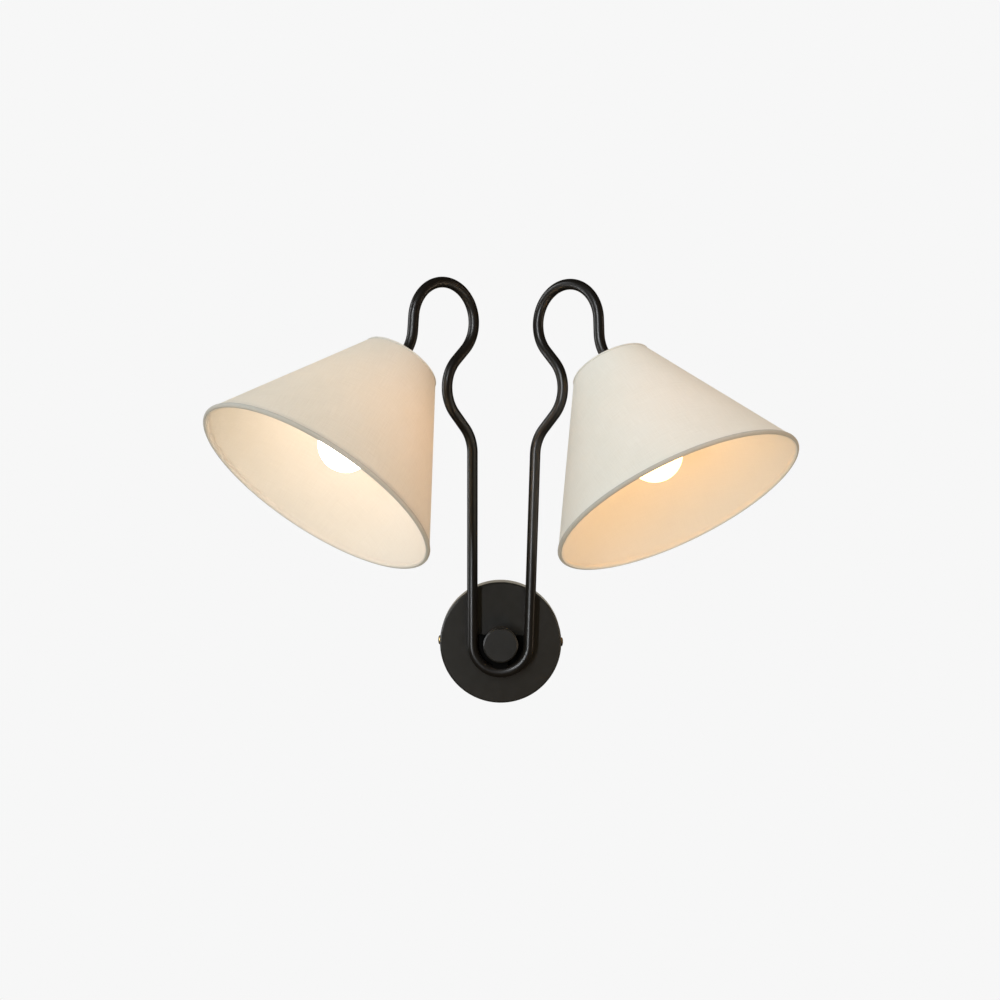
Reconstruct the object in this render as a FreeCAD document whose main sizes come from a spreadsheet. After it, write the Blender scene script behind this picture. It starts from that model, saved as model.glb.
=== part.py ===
import FreeCAD
import Part
import Sketcher

import math
import os
import re

from FreeCAD import Placement, Rotation, Vector

# A double arm wall sconce: a round canopy on the wall, one bent tube that rises from a hub on the
# canopy as two legs, bends out, in and over into a hook at each side, and carries a cone shade
# below each hook. Millimetres. The wall is the plane y = 0, the room is towards -Y and +Z is up.
# The origin is the middle of the crossbar's back face, behind the hub.

doc = FreeCAD.newDocument("DoubleArmWallSconce")

# ------------------------------------------------------------------ driving dimensions
DIMENSIONS = [
    # canopy and what holds it to the wall box
    ("canopyDiameter", 122, "outer diameter of the spun canopy"),
    ("canopyDepth", 25, "how far the canopy stands off the wall"),
    ("canopyWall", 1.2, "sheet thickness of the canopy"),
    ("canopyBevel", 1.6, "small bevel round the canopy's front edge"),
    ("crossbarWidth", 14, "height of the strap behind the canopy"),
    ("crossbarThickness", 2.5, "strap thickness"),
    ("earDepth", 17, "how far the strap's ears reach forward"),
    ("earGap", 0.6, "play between the ears and the canopy's side"),
    ("boxScrewSpacing", 79.4, "distance between the wall box screws"),
    ("boxSlotWidth", 4.6, "width of the slots for the wall box screws"),
    ("boxSlotLength", 14, "end to end length of those slots"),
    ("sideScrewDiameter", 4, "thread of the brass side screws"),
    ("sideScrewHeadDiameter", 9, "their round heads"),
    ("sideScrewHeadLength", 2.2, "length of those heads"),
    ("sideScrewHeadBevel", 1.2, "bevel round those heads"),
    ("sideScrewReach", 8, "length of their threads"),
    ("sideScrewPlace", 11, "distance of the side screws from the wall"),
    ("groundScrewDiameter", 3.4, "thread of the earthing screw"),
    ("groundScrewHeadDiameter", 7, "its head"),
    ("groundScrewHeadLength", 2, "length of its head"),
    ("groundScrewPlace", 26, "its distance from the middle of the strap"),
    # hub stack
    ("nippleDiameter", 10, "threaded pipe through canopy and hub"),
    ("nippleBore", 7, "way for the leads through that pipe"),
    ("nippleTail", 2.5, "thread behind its nut"),
    ("nippleTipGap", 0.4, "room between its front end and the knob's face"),
    ("windowLength", 8, "window for the leads in the side of that pipe, along the pipe"),
    ("windowWidth", 6.8, "its width"),
    ("windowAhead", 2.5, "its front edge before the tube's middle"),
    ("nutAcrossFlats", 15, "nut behind the canopy's face"),
    ("nutThickness", 3, "its thickness"),
    ("lockWasherDiameter", 18, "washer under the nut"),
    ("washerThickness", 1, "lock, friction and spring washers"),
    ("frictionWasherDiameter", 34, "washer between canopy and hub"),
    ("springWasherDiameter", 20, "washer under the clamp knob"),
    ("saddleThickness", 12, "depth of the hub block that holds the tube"),
    ("saddleTop", 8, "height of the hub block above its middle"),
    ("saddleCradle", 3, "how far the tube's middle stands out of the hub block's half round base"),
    ("saddleBossRadius", 15.5, "round boss on that base, under the knob"),
    ("saddleBridgeWidth", 15, "bridge below the boss that takes the leads to the tube"),
    ("knobDiameter", 34.6, "clamp knob in front of the hub"),
    ("knobThickness", 6.5, "its thickness"),
    ("knobBevel", 1.4, "its bevelled edge"),
    ("knobFace", 1.6, "solid metal in front of its bore"),
    ("tubeStandOff", 9.3, "tube middle in front of the canopy's face"),
    # bent tube
    ("tubeDiameter", 10.5, "outer diameter of the arm tube"),
    ("tubeWall", 1, "its wall"),
    ("hubBendRadius", 28.2, "middle line radius of the bend under the hub"),
    ("legLean", 0.87, "degrees that each leg leans outward"),
    ("legHeight", 190, "from the hub's middle to the first bend, along the leg"),
    ("armTurn", 40.8, "degrees from the wall plane to each arm's own plane"),
    ("bendRadius", 37.4, "middle line radius of every bend above the legs"),
    ("outwardTurn", 42.4, "first bend, outward, degrees"),
    ("outwardRun", 18.7, "straight run after it"),
    ("inwardTurn", 88.1, "second bend, back inward, degrees"),
    ("inwardRun", 15.8, "straight run after it"),
    ("hookTurn", 220.9, "the hook, over and down, degrees"),
    ("hookRun", 14, "straight run after it"),
    ("endTurn", 28, "last bend, degrees"),
    ("endRun", 14, "straight end of the tube"),
    # leads
    ("leadDiameter", 2.8, "two core lead inside each arm"),
    ("hubLeadDiameter", 4, "both leads together in the hub"),
    ("hubLeadRadius", 5, "their bend into the threaded pipe"),
    ("hubLeadTail", 3, "leads behind the threaded pipe"),
    ("leadEndGap", 0.5, "room between an arm's lead and the bush in the tube's end"),
    ("spliceLength", 14, "tails between the two wire connectors"),
    ("connectorLength", 14, "wire connector"),
    ("connectorMouth", 8, "its wide end"),
    ("connectorTip", 5, "its closed end"),
    # swivel under each tube end
    ("swivelRise", 12, "tube end above the swivel's pivot"),
    ("swivelGap", 0.2, "play between the tube end and the yoke"),
    ("bushLength", 10, "brass bush in the tube end"),
    ("yokeStemDiameter", 6, "stem of the yoke in the bush"),
    ("yokeStemLength", 9, "its length"),
    ("yokeBaseDiameter", 15, "round base of the yoke"),
    ("yokeBaseThickness", 3, "its thickness"),
    ("knuckleRadius", 6, "round ends of yoke and tongue"),
    ("cheekThickness", 3, "each cheek of the yoke"),
    ("tongueWidth", 5, "tongue between the cheeks"),
    ("cheekClearance", 0.1, "play at each side of the tongue"),
    ("pivotScrewDiameter", 4, "pivot screw of the swivel"),
    ("pivotHeadDiameter", 8, "its head"),
    ("pivotHeadThickness", 2.2, "its head's thickness"),
    ("pivotNutFlats", 7, "its nut"),
    ("pivotNutThickness", 3, "its nut's thickness"),
    ("leadWay", 3.4, "drilled way for the leads"),
    ("runningClearance", 0.05, "radial play of every turning or threaded fit"),
    ("edgeBevel", 0.6, "bevel round small screw heads"),
    ("pivotScrewTip", 0.5, "pivot screw beyond its nut"),
    ("weld", 0.5, "overlap of two shapes that are one piece"),
    ("cutterOver", 1, "how far a cutting shape reaches past a face"),
    # lampholder, measured down the shade's axis from the swivel's pivot
    ("flangeDrop", 8, "top of the tongue's flange below the pivot"),
    ("flangeThickness", 3, "thickness of that flange"),
    ("flangeDiameter", 15, "its diameter"),
    ("holderStemDiameter", 9.8, "threaded stem into the lampholder cap"),
    ("holderStemLength", 8, "its length"),
    ("holderDiameter", 34, "lampholder cap and body"),
    ("holderCapHeight", 20, "height of the cap"),
    ("holderCapSkirt", 6, "straight part of the cap"),
    ("holderCapWall", 1.5, "its wall"),
    ("holderCapNeck", 9, "depth of its threaded neck"),
    ("holderCapThroat", 14, "its hollow's width just below that neck"),
    ("holderBodyHeight", 31, "height of the lampholder's body"),
    ("holderWall", 2.4, "its wall"),
    ("shoulderDiameter", 38, "shoulder that the shade's ring rests on"),
    ("shoulderThickness", 2.5, "its thickness"),
    ("skirtHeight", 12.5, "threaded skirt below the shoulder"),
    ("skirtDiameter", 32.8, "its diameter"),
    ("carrierThickness", 7, "ceramic disc that carries the contacts"),
    ("fitClearance", 0.1, "play between stacked still pieces"),
    ("screwShellDiameter", 28.2, "threaded metal shell for the bulb"),
    ("screwShellWall", 0.5, "its wall"),
    ("screwShellHeight", 22, "its height"),
    ("contactDiameter", 6, "centre contact"),
    ("contactThickness", 1, "its thickness"),
    ("ringNutDiameter", 41, "ring that clamps the shade"),
    ("ringNutThickness", 5, "its thickness"),
    # bulb
    ("bulbBaseDiameter", 26.2, "screw base of the bulb"),
    ("bulbBaseHeight", 25, "its height"),
    ("bulbBaseWall", 0.5, "its sheet"),
    ("bulbBaseShoulder", 3, "height of its sloping shoulder"),
    ("bulbTipDiameter", 8, "flat tip of the base"),
    ("bulbNeckInBase", 8, "neck of the globe inside the base"),
    ("bulbDiameter", 52, "globe of the bulb"),
    ("bulbNeckDiameter", 25, "its neck"),
    ("bulbGlass", 1, "glass thickness"),
    ("bulbCentreBelowTip", 51, "globe centre below the base's tip"),
    # shade
    ("shadeTopDiameter", 78, "outer diameter over the top rim"),
    ("shadeBottomDiameter", 240, "outer diameter over the bottom rim"),
    ("shadeHeight", 150, "between the two rims' middle planes"),
    ("shadeTopAbovePivot", 7, "top rim's middle plane above the pivot"),
    ("shadeCloth", 0.8, "lined cloth"),
    ("rimDiameter", 3.6, "wire ring with the cloth rolled round it"),
    ("spiderWire", 2.4, "wire of the shade's spokes"),
    ("spokeTurn", 60, "degrees from the head's own X axis to the first spoke"),
    ("spokeClearance", 0.4, "play between the spokes and the lampholder's shoulder"),
    ("spiderRingDiameter", 42, "flat ring that sits on the lampholder's shoulder"),
    ("spiderRingThickness", 1.5, "its thickness"),
    # how each head is set in the photograph, degrees
    ("leftSwivel", 0, "left head turned about its tube end"),
    ("leftTilt", 7, "left head tilted outward from its tube end"),
    ("rightSwivel", -42, "right head turned about its tube end"),
    ("rightTilt", 2.7, "right head tilted outward from its tube end"),
]

sheet = doc.addObject("Spreadsheet::Sheet", "Sizes")
for row, (alias, value, note) in enumerate(DIMENSIONS, start=1):
    sheet.set(f"A{row}", alias)
    sheet.set(f"B{row}", str(value))
    sheet.set(f"C{row}", note)
    sheet.setAlias(f"B{row}", alias)
doc.recompute()

ALIASES = {alias for alias, value, note in DIMENSIONS}


class Sizes:
    """The sheet's values, read back as plain numbers."""


size = Sizes()
for alias in ALIASES:
    setattr(size, alias, float(sheet.get(alias)))

NODES = []

spokeCount = 3
quarterTurn = 90  # degrees
halfTurn = 180
fullTurn = 360
sketchMiddle = 50.0  # where a sketch's corners start before its constraints move them
sketchReach = 20.0


# ------------------------------------------------------------------ small helpers
def withSheet(expression):
    """Put the sheet's name before each of its aliases."""
    return re.sub(r"[A-Za-z]\w*", lambda word: "Sizes." * (word[0] in ALIASES) + word[0], expression)


def node(label, piece):
    """Name a finished sub-part, which is then written to its own file."""
    piece.Label = label
    NODES.append(piece)
    return piece


def solid(kind, name, placement=None, **sizes):
    """A primitive whose sizes follow the sheet."""
    piece = doc.addObject("Part::" + kind, name)
    for property_name, expression in sizes.items():
        piece.setExpression(property_name, withSheet(expression))
    if placement is not None:
        piece.Placement = placement
    return piece


def fused(name, *pieces):
    whole = doc.addObject("Part::MultiFuse", name)
    whole.Shapes = list(pieces)
    return whole


def cut(name, base, *tools):
    """Take the tools out of the base."""
    result = doc.addObject("Part::Cut", name)
    result.Base = base
    result.Tool = tools[0] if len(tools) == 1 else fused(name + "Tools", *tools)
    return result


def common(name, first, second):
    result = doc.addObject("Part::Common", name)
    result.Base = first
    result.Tool = second
    return result


def turned(name, placement, outline):
    """A turned piece: corners given as (radius, height) expressions, turned about the local Z axis."""
    body = doc.addObject("PartDesign::Body", name)
    sketch = body.newObject("Sketcher::SketchObject", name + "Outline")
    plane = [item for item in body.Origin.OriginFeatures if item.Role == "XZ_Plane"][0]
    sketch.AttachmentSupport = [(plane, "")]
    sketch.MapMode = "FlatFace"
    count = len(outline)
    rough = []
    for index in range(count):
        angle = 2 * math.pi * index / count
        rough.append(Vector(sketchMiddle + sketchReach * math.cos(angle),
                            sketchMiddle + sketchReach * math.sin(angle), 0))
    for index in range(count):
        sketch.addGeometry(Part.LineSegment(rough[index], rough[(index + 1) % count]))
    for index in range(count):
        sketch.addConstraint(Sketcher.Constraint("Coincident", index, 2, (index + 1) % count, 1))
    for index, (radius, height) in enumerate(outline):
        for kind, expression, axis in (("DistanceX", radius, -2), ("DistanceY", height, -1)):
            if expression == "0":
                sketch.addConstraint(Sketcher.Constraint("PointOnObject", index, 1, axis))
            else:
                place = sketch.addConstraint(Sketcher.Constraint(kind, -1, 1, index, 1, sketchMiddle))
                sketch.setExpression(f"Constraints[{place}]", withSheet(expression))
    turn = body.newObject("PartDesign::Revolution", name + "Turn")
    turn.Profile = sketch
    turn.ReferenceAxis = (sketch, ["V_Axis"])
    turn.Angle = fullTurn
    body.Tip = turn
    body.Placement = placement
    return body


def washer(name, placement, outer, inner, thickness):
    """A flat ring: outer and inner diameters and thickness as expressions."""
    return turned(name, placement, [
        (f"({inner}) / 2", "0"),
        (f"({outer}) / 2", "0"),
        (f"({outer}) / 2", thickness),
        (f"({inner}) / 2", thickness),
    ])


def forward(distance, x=0.0, z=0.0):
    """A place in front of the wall whose local Z points into the room and local Y points up."""
    return Placement(Vector(x, -distance, z), Rotation(Vector(1, 0, 0), quarterTurn))


def along(start, direction):
    """A place whose local Z points along a direction."""
    return Placement(start, Rotation(Vector(0, 0, 1), direction))


def shifted(frame, x=0.0, y=0.0, z=0.0):
    """A place moved along its own axes."""
    return frame.multiply(Placement(Vector(x, y, z), Rotation()))


def acrossY(frame, y=0.0, z=0.0):
    """A place whose local Z runs along the frame's own -Y axis."""
    return frame.multiply(Placement(Vector(0, y, z), Rotation(Vector(1, 0, 0), quarterTurn)))


def alongX(frame, x=0.0, y=0.0, z=0.0):
    """A place whose local Z runs along the frame's own +X axis."""
    return frame.multiply(Placement(Vector(x, y, z), Rotation(Vector(0, 1, 0), quarterTurn)))


# ------------------------------------------------------------------ bent paths
class BentPath:
    """A path of straight runs joined by tangent arcs in one plane."""

    def __init__(self, start, heading, normal):
        self.point = start
        self.heading = heading
        self.normal = normal
        self.start = start
        self.firstHeading = heading
        self.edges = []
        self.length = 0.0

    def run(self, distance):
        end = self.point + self.heading * distance
        self.edges.append(Part.LineSegment(self.point, end).toShape())
        self.point = end
        self.length += distance

    def turn(self, degrees, radius):
        """Positive turns the heading about the plane's normal by the right-hand rule."""
        side = self.normal.cross(self.heading) * math.copysign(1.0, degrees)
        centre = self.point + side * radius
        spoke = self.point - centre
        middle = centre + Rotation(self.normal, degrees / 2).multVec(spoke)
        end = centre + Rotation(self.normal, degrees).multVec(spoke)
        self.edges.append(Part.Arc(self.point, middle, end).toShape())
        self.point = end
        self.heading = Rotation(self.normal, degrees).multVec(self.heading)
        self.length += abs(math.radians(degrees)) * radius


def swept(name, path, radius):
    """A round bar along a bent path."""
    spine = doc.addObject("Part::Feature", name + "Path")
    spine.Shape = Part.Wire(path.edges)
    section = solid("Circle", name + "Section", along(path.start, path.firstHeading), Radius=radius)
    bar = doc.addObject("Part::Sweep", name)
    bar.Sections = [section]
    bar.Spine = (spine, [f"Edge{number + 1}" for number in range(len(path.edges))])
    bar.Solid = True
    bar.Frenet = False
    return bar


# ------------------------------------------------------------------ canopy and wall fixing
def makeCanopy():
    spun = turned("CanopySpinning", forward(0), [
        ("canopyDiameter / 2 - canopyWall", "0"),
        ("canopyDiameter / 2", "0"),
        ("canopyDiameter / 2", "canopyDepth - canopyBevel"),
        ("canopyDiameter / 2 - canopyBevel", "canopyDepth"),
        ("nippleDiameter / 2 + runningClearance", "canopyDepth"),
        ("nippleDiameter / 2 + runningClearance", "canopyDepth - canopyWall"),
        ("canopyDiameter / 2 - canopyBevel - canopyWall / 2", "canopyDepth - canopyWall"),
        ("canopyDiameter / 2 - canopyWall", "canopyDepth - canopyBevel - canopyWall / 2"),
    ])
    middle = Vector(-size.canopyDiameter, -size.sideScrewPlace, 0)
    drill = solid("Cylinder", "CanopySideHoles", along(middle, Vector(1, 0, 0)),
                  Radius="sideScrewDiameter / 2 + runningClearance", Height="canopyDiameter * 2")
    node("canopy_pan", cut("CanopyPan", spun, drill))


def makeCrossbar():
    half = size.canopyDiameter / 2 - size.canopyWall - size.earGap
    strap = solid("Box", "CrossbarStrap",
                  Placement(Vector(-half, -size.crossbarThickness, -size.crossbarWidth / 2), Rotation()),
                  Length="canopyDiameter - 2 * canopyWall - 2 * earGap", Width="crossbarThickness",
                  Height="crossbarWidth")
    ears = []
    slots = []
    for name, side in (("Left", -1), ("Right", 1)):
        inner = half - size.crossbarThickness if side > 0 else -half
        ears.append(solid("Box", f"{name}Ear",
                          Placement(Vector(inner, -size.earDepth, -size.crossbarWidth / 2), Rotation()),
                          Length="crossbarThickness", Width="earDepth", Height="crossbarWidth"))
        middle = side * size.boxScrewSpacing / 2
        straight = (size.boxSlotLength - size.boxSlotWidth) / 2
        for end in (-1, 1):
            slots.append(solid("Cylinder", f"{name}SlotEnd{'A' if end < 0 else 'B'}",
                               forward(-size.cutterOver, x=middle + end * straight),
                               Radius="boxSlotWidth / 2", Height="crossbarThickness + 2 * cutterOver"))
        corner = Vector(middle - straight, -size.crossbarThickness - size.cutterOver, -size.boxSlotWidth / 2)
        slots.append(solid("Box", f"{name}SlotMiddle", Placement(corner, Rotation()),
                           Length="boxSlotLength - boxSlotWidth",
                           Width="crossbarThickness + 2 * cutterOver", Height="boxSlotWidth"))
    start = Vector(-size.canopyDiameter, -size.sideScrewPlace, 0)
    tapped = solid("Cylinder", "EarHoles", along(start, Vector(1, 0, 0)),
                   Radius="sideScrewDiameter / 2 + runningClearance", Height="canopyDiameter * 2")
    earth = solid("Cylinder", "GroundHole", forward(-size.cutterOver, x=-size.groundScrewPlace),
                  Radius="groundScrewDiameter / 2 + runningClearance",
                  Height="crossbarThickness + 2 * cutterOver")
    node("wall_crossbar", cut("Crossbar", fused("CrossbarBent", strap, *ears), *slots, tapped, earth))


def makeGroundScrew():
    place = forward(size.fitClearance, x=-size.groundScrewPlace)
    node("ground_screw", turned("GroundScrew", place, [
        ("0", "0"),
        ("groundScrewDiameter / 2", "0"),
        ("groundScrewDiameter / 2", "crossbarThickness - fitClearance"),
        ("groundScrewHeadDiameter / 2", "crossbarThickness - fitClearance"),
        ("groundScrewHeadDiameter / 2 - edgeBevel", "crossbarThickness + groundScrewHeadLength"),
        ("0", "crossbarThickness + groundScrewHeadLength"),
    ]))


def makeSideScrews():
    """Two brass screws through the canopy's side into the strap's ears, heads outward."""
    screws = []
    for name, side in (("Left", -1), ("Right", 1)):
        start = Vector(side * (size.canopyDiameter / 2 - size.sideScrewReach), -size.sideScrewPlace, 0)
        screws.append(turned(f"{name}SideScrew", along(start, Vector(side, 0, 0)), [
            ("0", "0"),
            ("sideScrewDiameter / 2", "0"),
            ("sideScrewDiameter / 2", "sideScrewReach"),
            ("sideScrewHeadDiameter / 2", "sideScrewReach"),
            ("sideScrewHeadDiameter / 2", "sideScrewReach + sideScrewHeadLength / 2"),
            ("sideScrewHeadDiameter / 2 - sideScrewHeadBevel", "sideScrewReach + sideScrewHeadLength"),
            ("0", "sideScrewReach + sideScrewHeadLength"),
        ]))
    pair = doc.addObject("Part::Compound", "SideScrews")
    pair.Links = screws
    node("side_screws", pair)


# ------------------------------------------------------------------ hub stack, wall to room
hubBack = size.canopyDepth + size.washerThickness
hubFront = hubBack + size.saddleThickness
knobBack = hubFront + size.washerThickness
tubeForward = size.canopyDepth + size.tubeStandOff
nutBack = size.canopyDepth - size.canopyWall - size.washerThickness - size.nutThickness
nippleBack = nutBack - size.nippleTail
hubLeadEnd = nippleBack - size.hubLeadTail


def makeNipple():
    pipe = washer("NipplePipe", forward(nippleBack), "nippleDiameter", "nippleBore",
                  "nippleTail + nutThickness + canopyWall + washerThickness * 3 + saddleThickness"
                  " + knobThickness - knobFace - nippleTipGap")
    corner = Vector(-size.windowWidth / 2, -tubeForward - size.windowAhead, -size.nippleDiameter)
    window = solid("Box", "NippleWindow", Placement(corner, Rotation()), Length="windowWidth",
                   Width="windowLength", Height="nippleDiameter - hubLeadDiameter / 2")
    node("hub_nipple", cut("Nipple", pipe, window))


def makeHubWashers():
    hole = "nippleDiameter + 2 * runningClearance"
    nut = solid("Prism", "NippleNutHex", forward(nutBack), Circumradius="nutAcrossFlats / sqrt(3)",
                Height="nutThickness")
    nut.Polygon = 6
    bore = solid("Cylinder", "NippleNutBore", forward(nutBack - size.cutterOver),
                 Radius="nippleDiameter / 2 + runningClearance", Height="nutThickness + 2 * cutterOver")
    node("nipple_nut", cut("NippleNut", nut, bore))
    node("lock_washer", washer("LockWasher", forward(nutBack + size.nutThickness),
                               "lockWasherDiameter", hole, "washerThickness"))
    node("friction_washer", washer("FrictionWasher", forward(size.canopyDepth),
                                   "frictionWasherDiameter", hole, "washerThickness"))
    node("spring_washer", washer("SpringWasher", forward(hubFront), "springWasherDiameter", hole,
                                 "washerThickness"))


def makeClampKnob():
    node("clamp_knob", turned("ClampKnob", forward(knobBack), [
        ("nippleDiameter / 2 + runningClearance", "0"),
        ("knobDiameter / 2 - knobBevel / 2", "0"),
        ("knobDiameter / 2", "knobBevel / 2"),
        ("knobDiameter / 2", "knobThickness - knobBevel"),
        ("knobDiameter / 2 - knobBevel", "knobThickness"),
        ("0", "knobThickness"),
        ("0", "knobThickness - knobFace"),
        ("nippleDiameter / 2 + runningClearance", "knobThickness - knobFace"),
    ]))


def makeSaddle(tube):
    """The hub block: a half round base that cradles the tube's bend, and a boss and a bridge on it."""
    base = solid("Cylinder", "SaddleBase", forward(hubBack), Radius="hubBendRadius",
                 Height="tubeStandOff - washerThickness - saddleCradle")
    boss = solid("Cylinder", "SaddleBoss", forward(hubBack), Radius="saddleBossRadius",
                 Height="saddleThickness")
    corner = Vector(-size.saddleBridgeWidth / 2, -hubFront, -size.hubBendRadius)
    bridge = solid("Box", "SaddleBridge", Placement(corner, Rotation()), Length="saddleBridgeWidth",
                   Width="saddleThickness", Height="hubBendRadius")
    corner = Vector(-size.canopyDiameter / 2, -tubeForward * 2, -size.canopyDiameter)
    keep = solid("Box", "SaddleKeep", Placement(corner, Rotation()), Length="canopyDiameter",
                 Width="(canopyDepth + tubeStandOff) * 2",
                 Height="canopyDiameter + saddleTop")
    half = common("SaddleHalf", fused("SaddleBlank", base, boss, bridge), keep)
    bore = solid("Cylinder", "SaddleBore", forward(hubBack - size.cutterOver),
                 Radius="nippleDiameter / 2 + runningClearance", Height="saddleThickness + 2 * cutterOver")
    node("arm_saddle", cut("Saddle", half, tube, bore, leadChannel("SaddleLeadWay")))


def leadChannel(name):
    """The straight way for the leads, from the bend's middle up to the pipe."""
    return solid("Cylinder", name, Placement(Vector(0, -tubeForward, -size.hubBendRadius), Rotation()),
                 Radius="hubLeadDiameter / 2 + fitClearance", Height="hubBendRadius")


# ------------------------------------------------------------------ bent tube
def legDirection(side):
    lean = math.radians(size.legLean)
    return Vector(side * math.sin(lean), 0, math.cos(lean))


def armOutward(side):
    """The level direction in which an arm's plane leaves its leg, square to the leg."""
    turn = math.radians(size.armTurn)
    level = Vector(side * math.cos(turn), -math.sin(turn), 0)
    leg = legDirection(side)
    outward = level - leg * level.dot(leg)
    return outward.normalize()


def legTop(side):
    lean = math.radians(size.legLean)
    foot = Vector(side * size.hubBendRadius / math.cos(lean), -tubeForward, 0)
    return foot + legDirection(side) * size.legHeight


def addLeg(path):
    """From the bend's end up to the first bend of the arm."""
    path.run(size.legHeight + size.hubBendRadius * math.tan(math.radians(size.legLean)))


def addArm(path, last_run):
    """From the top of the leg to the tube's end: out, in, over the hook and down."""
    path.turn(size.outwardTurn, size.bendRadius)
    path.run(size.outwardRun)
    path.turn(-size.inwardTurn, size.bendRadius)
    path.run(size.inwardRun)
    path.turn(size.hookTurn, size.bendRadius)
    path.run(size.hookRun)
    path.turn(-size.endTurn, size.bendRadius)
    path.run(last_run)


def armPath(side, last_run):
    leg = legDirection(side)
    path = BentPath(legTop(side), leg, leg.cross(armOutward(side)).normalize())
    addArm(path, last_run)
    return path


def hollowTube(name, path):
    outer = swept(name + "Outside", path, "tubeDiameter / 2")
    bore = swept(name + "Bore", path, "tubeDiameter / 2 - tubeWall")
    return outer, bore


def makeTubes():
    path = BentPath(legTop(-1), legDirection(-1) * -1, Vector(0, -1, 0))
    addLeg(path)
    path.turn(halfTurn - 2 * size.legLean, size.hubBendRadius)
    addLeg(path)
    outer, bore = hollowTube("BaseTube", path)
    node("base_tube", cut("BaseTube", outer, bore, leadChannel("TubeLeadWay")))
    makeSaddle(outer)
    ends = {}
    for word, side in (("Left", -1), ("Right", 1)):
        path = armPath(side, size.endRun)
        arm_outer, arm_bore = hollowTube(f"{word}Arm", path)
        node(f"{word.lower()}_arm_tube", cut(f"{word}ArmTube", arm_outer, arm_bore))
        ends[side] = path
        print(f"{word} arm tube, middle line length {path.length:.1f} mm")
    return ends


def makeLeads():
    """A lead in each arm, from the middle of the bend to the tube's end, and both together in the hub."""
    for word, side in (("Left", -1), ("Right", 1)):
        start = Vector(0, -tubeForward, -size.hubBendRadius)
        begin = BentPath(start, Vector(side, 0, 0), Vector(0, -side, 0))
        begin.turn(quarterTurn - size.legLean, size.hubBendRadius)
        addLeg(begin)
        rest = armPath(side, size.endRun - size.bushLength - size.leadEndGap)
        begin.edges += rest.edges
        node(f"{word.lower()}_arm_lead", swept(f"{word}ArmLead", begin, "leadDiameter / 2"))
        print(f"{word} arm lead, length {begin.length + rest.length:.1f} mm")
    gap = size.leadDiameter / 2 + size.fitClearance
    start = Vector(0, -tubeForward, -size.hubBendRadius + gap)
    path = BentPath(start, Vector(0, 0, 1), Vector(-1, 0, 0))
    path.run(size.hubBendRadius - gap - size.hubLeadRadius)
    path.turn(quarterTurn, size.hubLeadRadius)
    path.run(tubeForward - size.hubLeadRadius - hubLeadEnd)
    node("hub_lead", swept("HubLead", path, "hubLeadDiameter / 2"))


def makeSplice():
    """Inside the canopy the leads meet two wire connectors, left and right of the pipe."""
    line = hubLeadEnd - size.leadDiameter / 2
    start = Vector(-size.spliceLength / 2, -line, 0)
    node("splice_lead", solid("Cylinder", "SpliceLead", along(start, Vector(1, 0, 0)),
                              Radius="leadDiameter / 2", Height="spliceLength"))
    caps = []
    for word, side in (("Left", -1), ("Right", 1)):
        mouth = Vector(side * size.spliceLength / 2, -line, 0)
        caps.append(solid("Cone", f"{word}Connector", along(mouth, Vector(side, 0, 0)),
                          Radius1="connectorMouth / 2", Radius2="connectorTip / 2",
                          Height="connectorLength"))
    pair = doc.addObject("Part::Compound", "WireConnectors")
    pair.Links = caps
    node("wire_connectors", pair)


# ------------------------------------------------------------------ one head
def headFrames(side, path, swivel, tilt):
    """The yoke's frame and the head's frame at the swivel's pivot, local Z up along each axis."""
    down = path.heading
    tilt_axis = path.normal * -1
    pivot = path.point + down * size.swivelRise
    turn = Rotation(down, -side * swivel)
    axis_y = turn.multVec(tilt_axis)
    yoke_z = down * -1
    yoke = Placement(pivot, Rotation(axis_y.cross(yoke_z), axis_y, yoke_z, "ZYX"))
    shade_down = turn.multVec(Rotation(tilt_axis, tilt).multVec(down))
    head_z = shade_down * -1
    head = Placement(pivot, Rotation(axis_y.cross(head_z), axis_y, head_z, "ZYX"))
    return yoke, head


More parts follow.
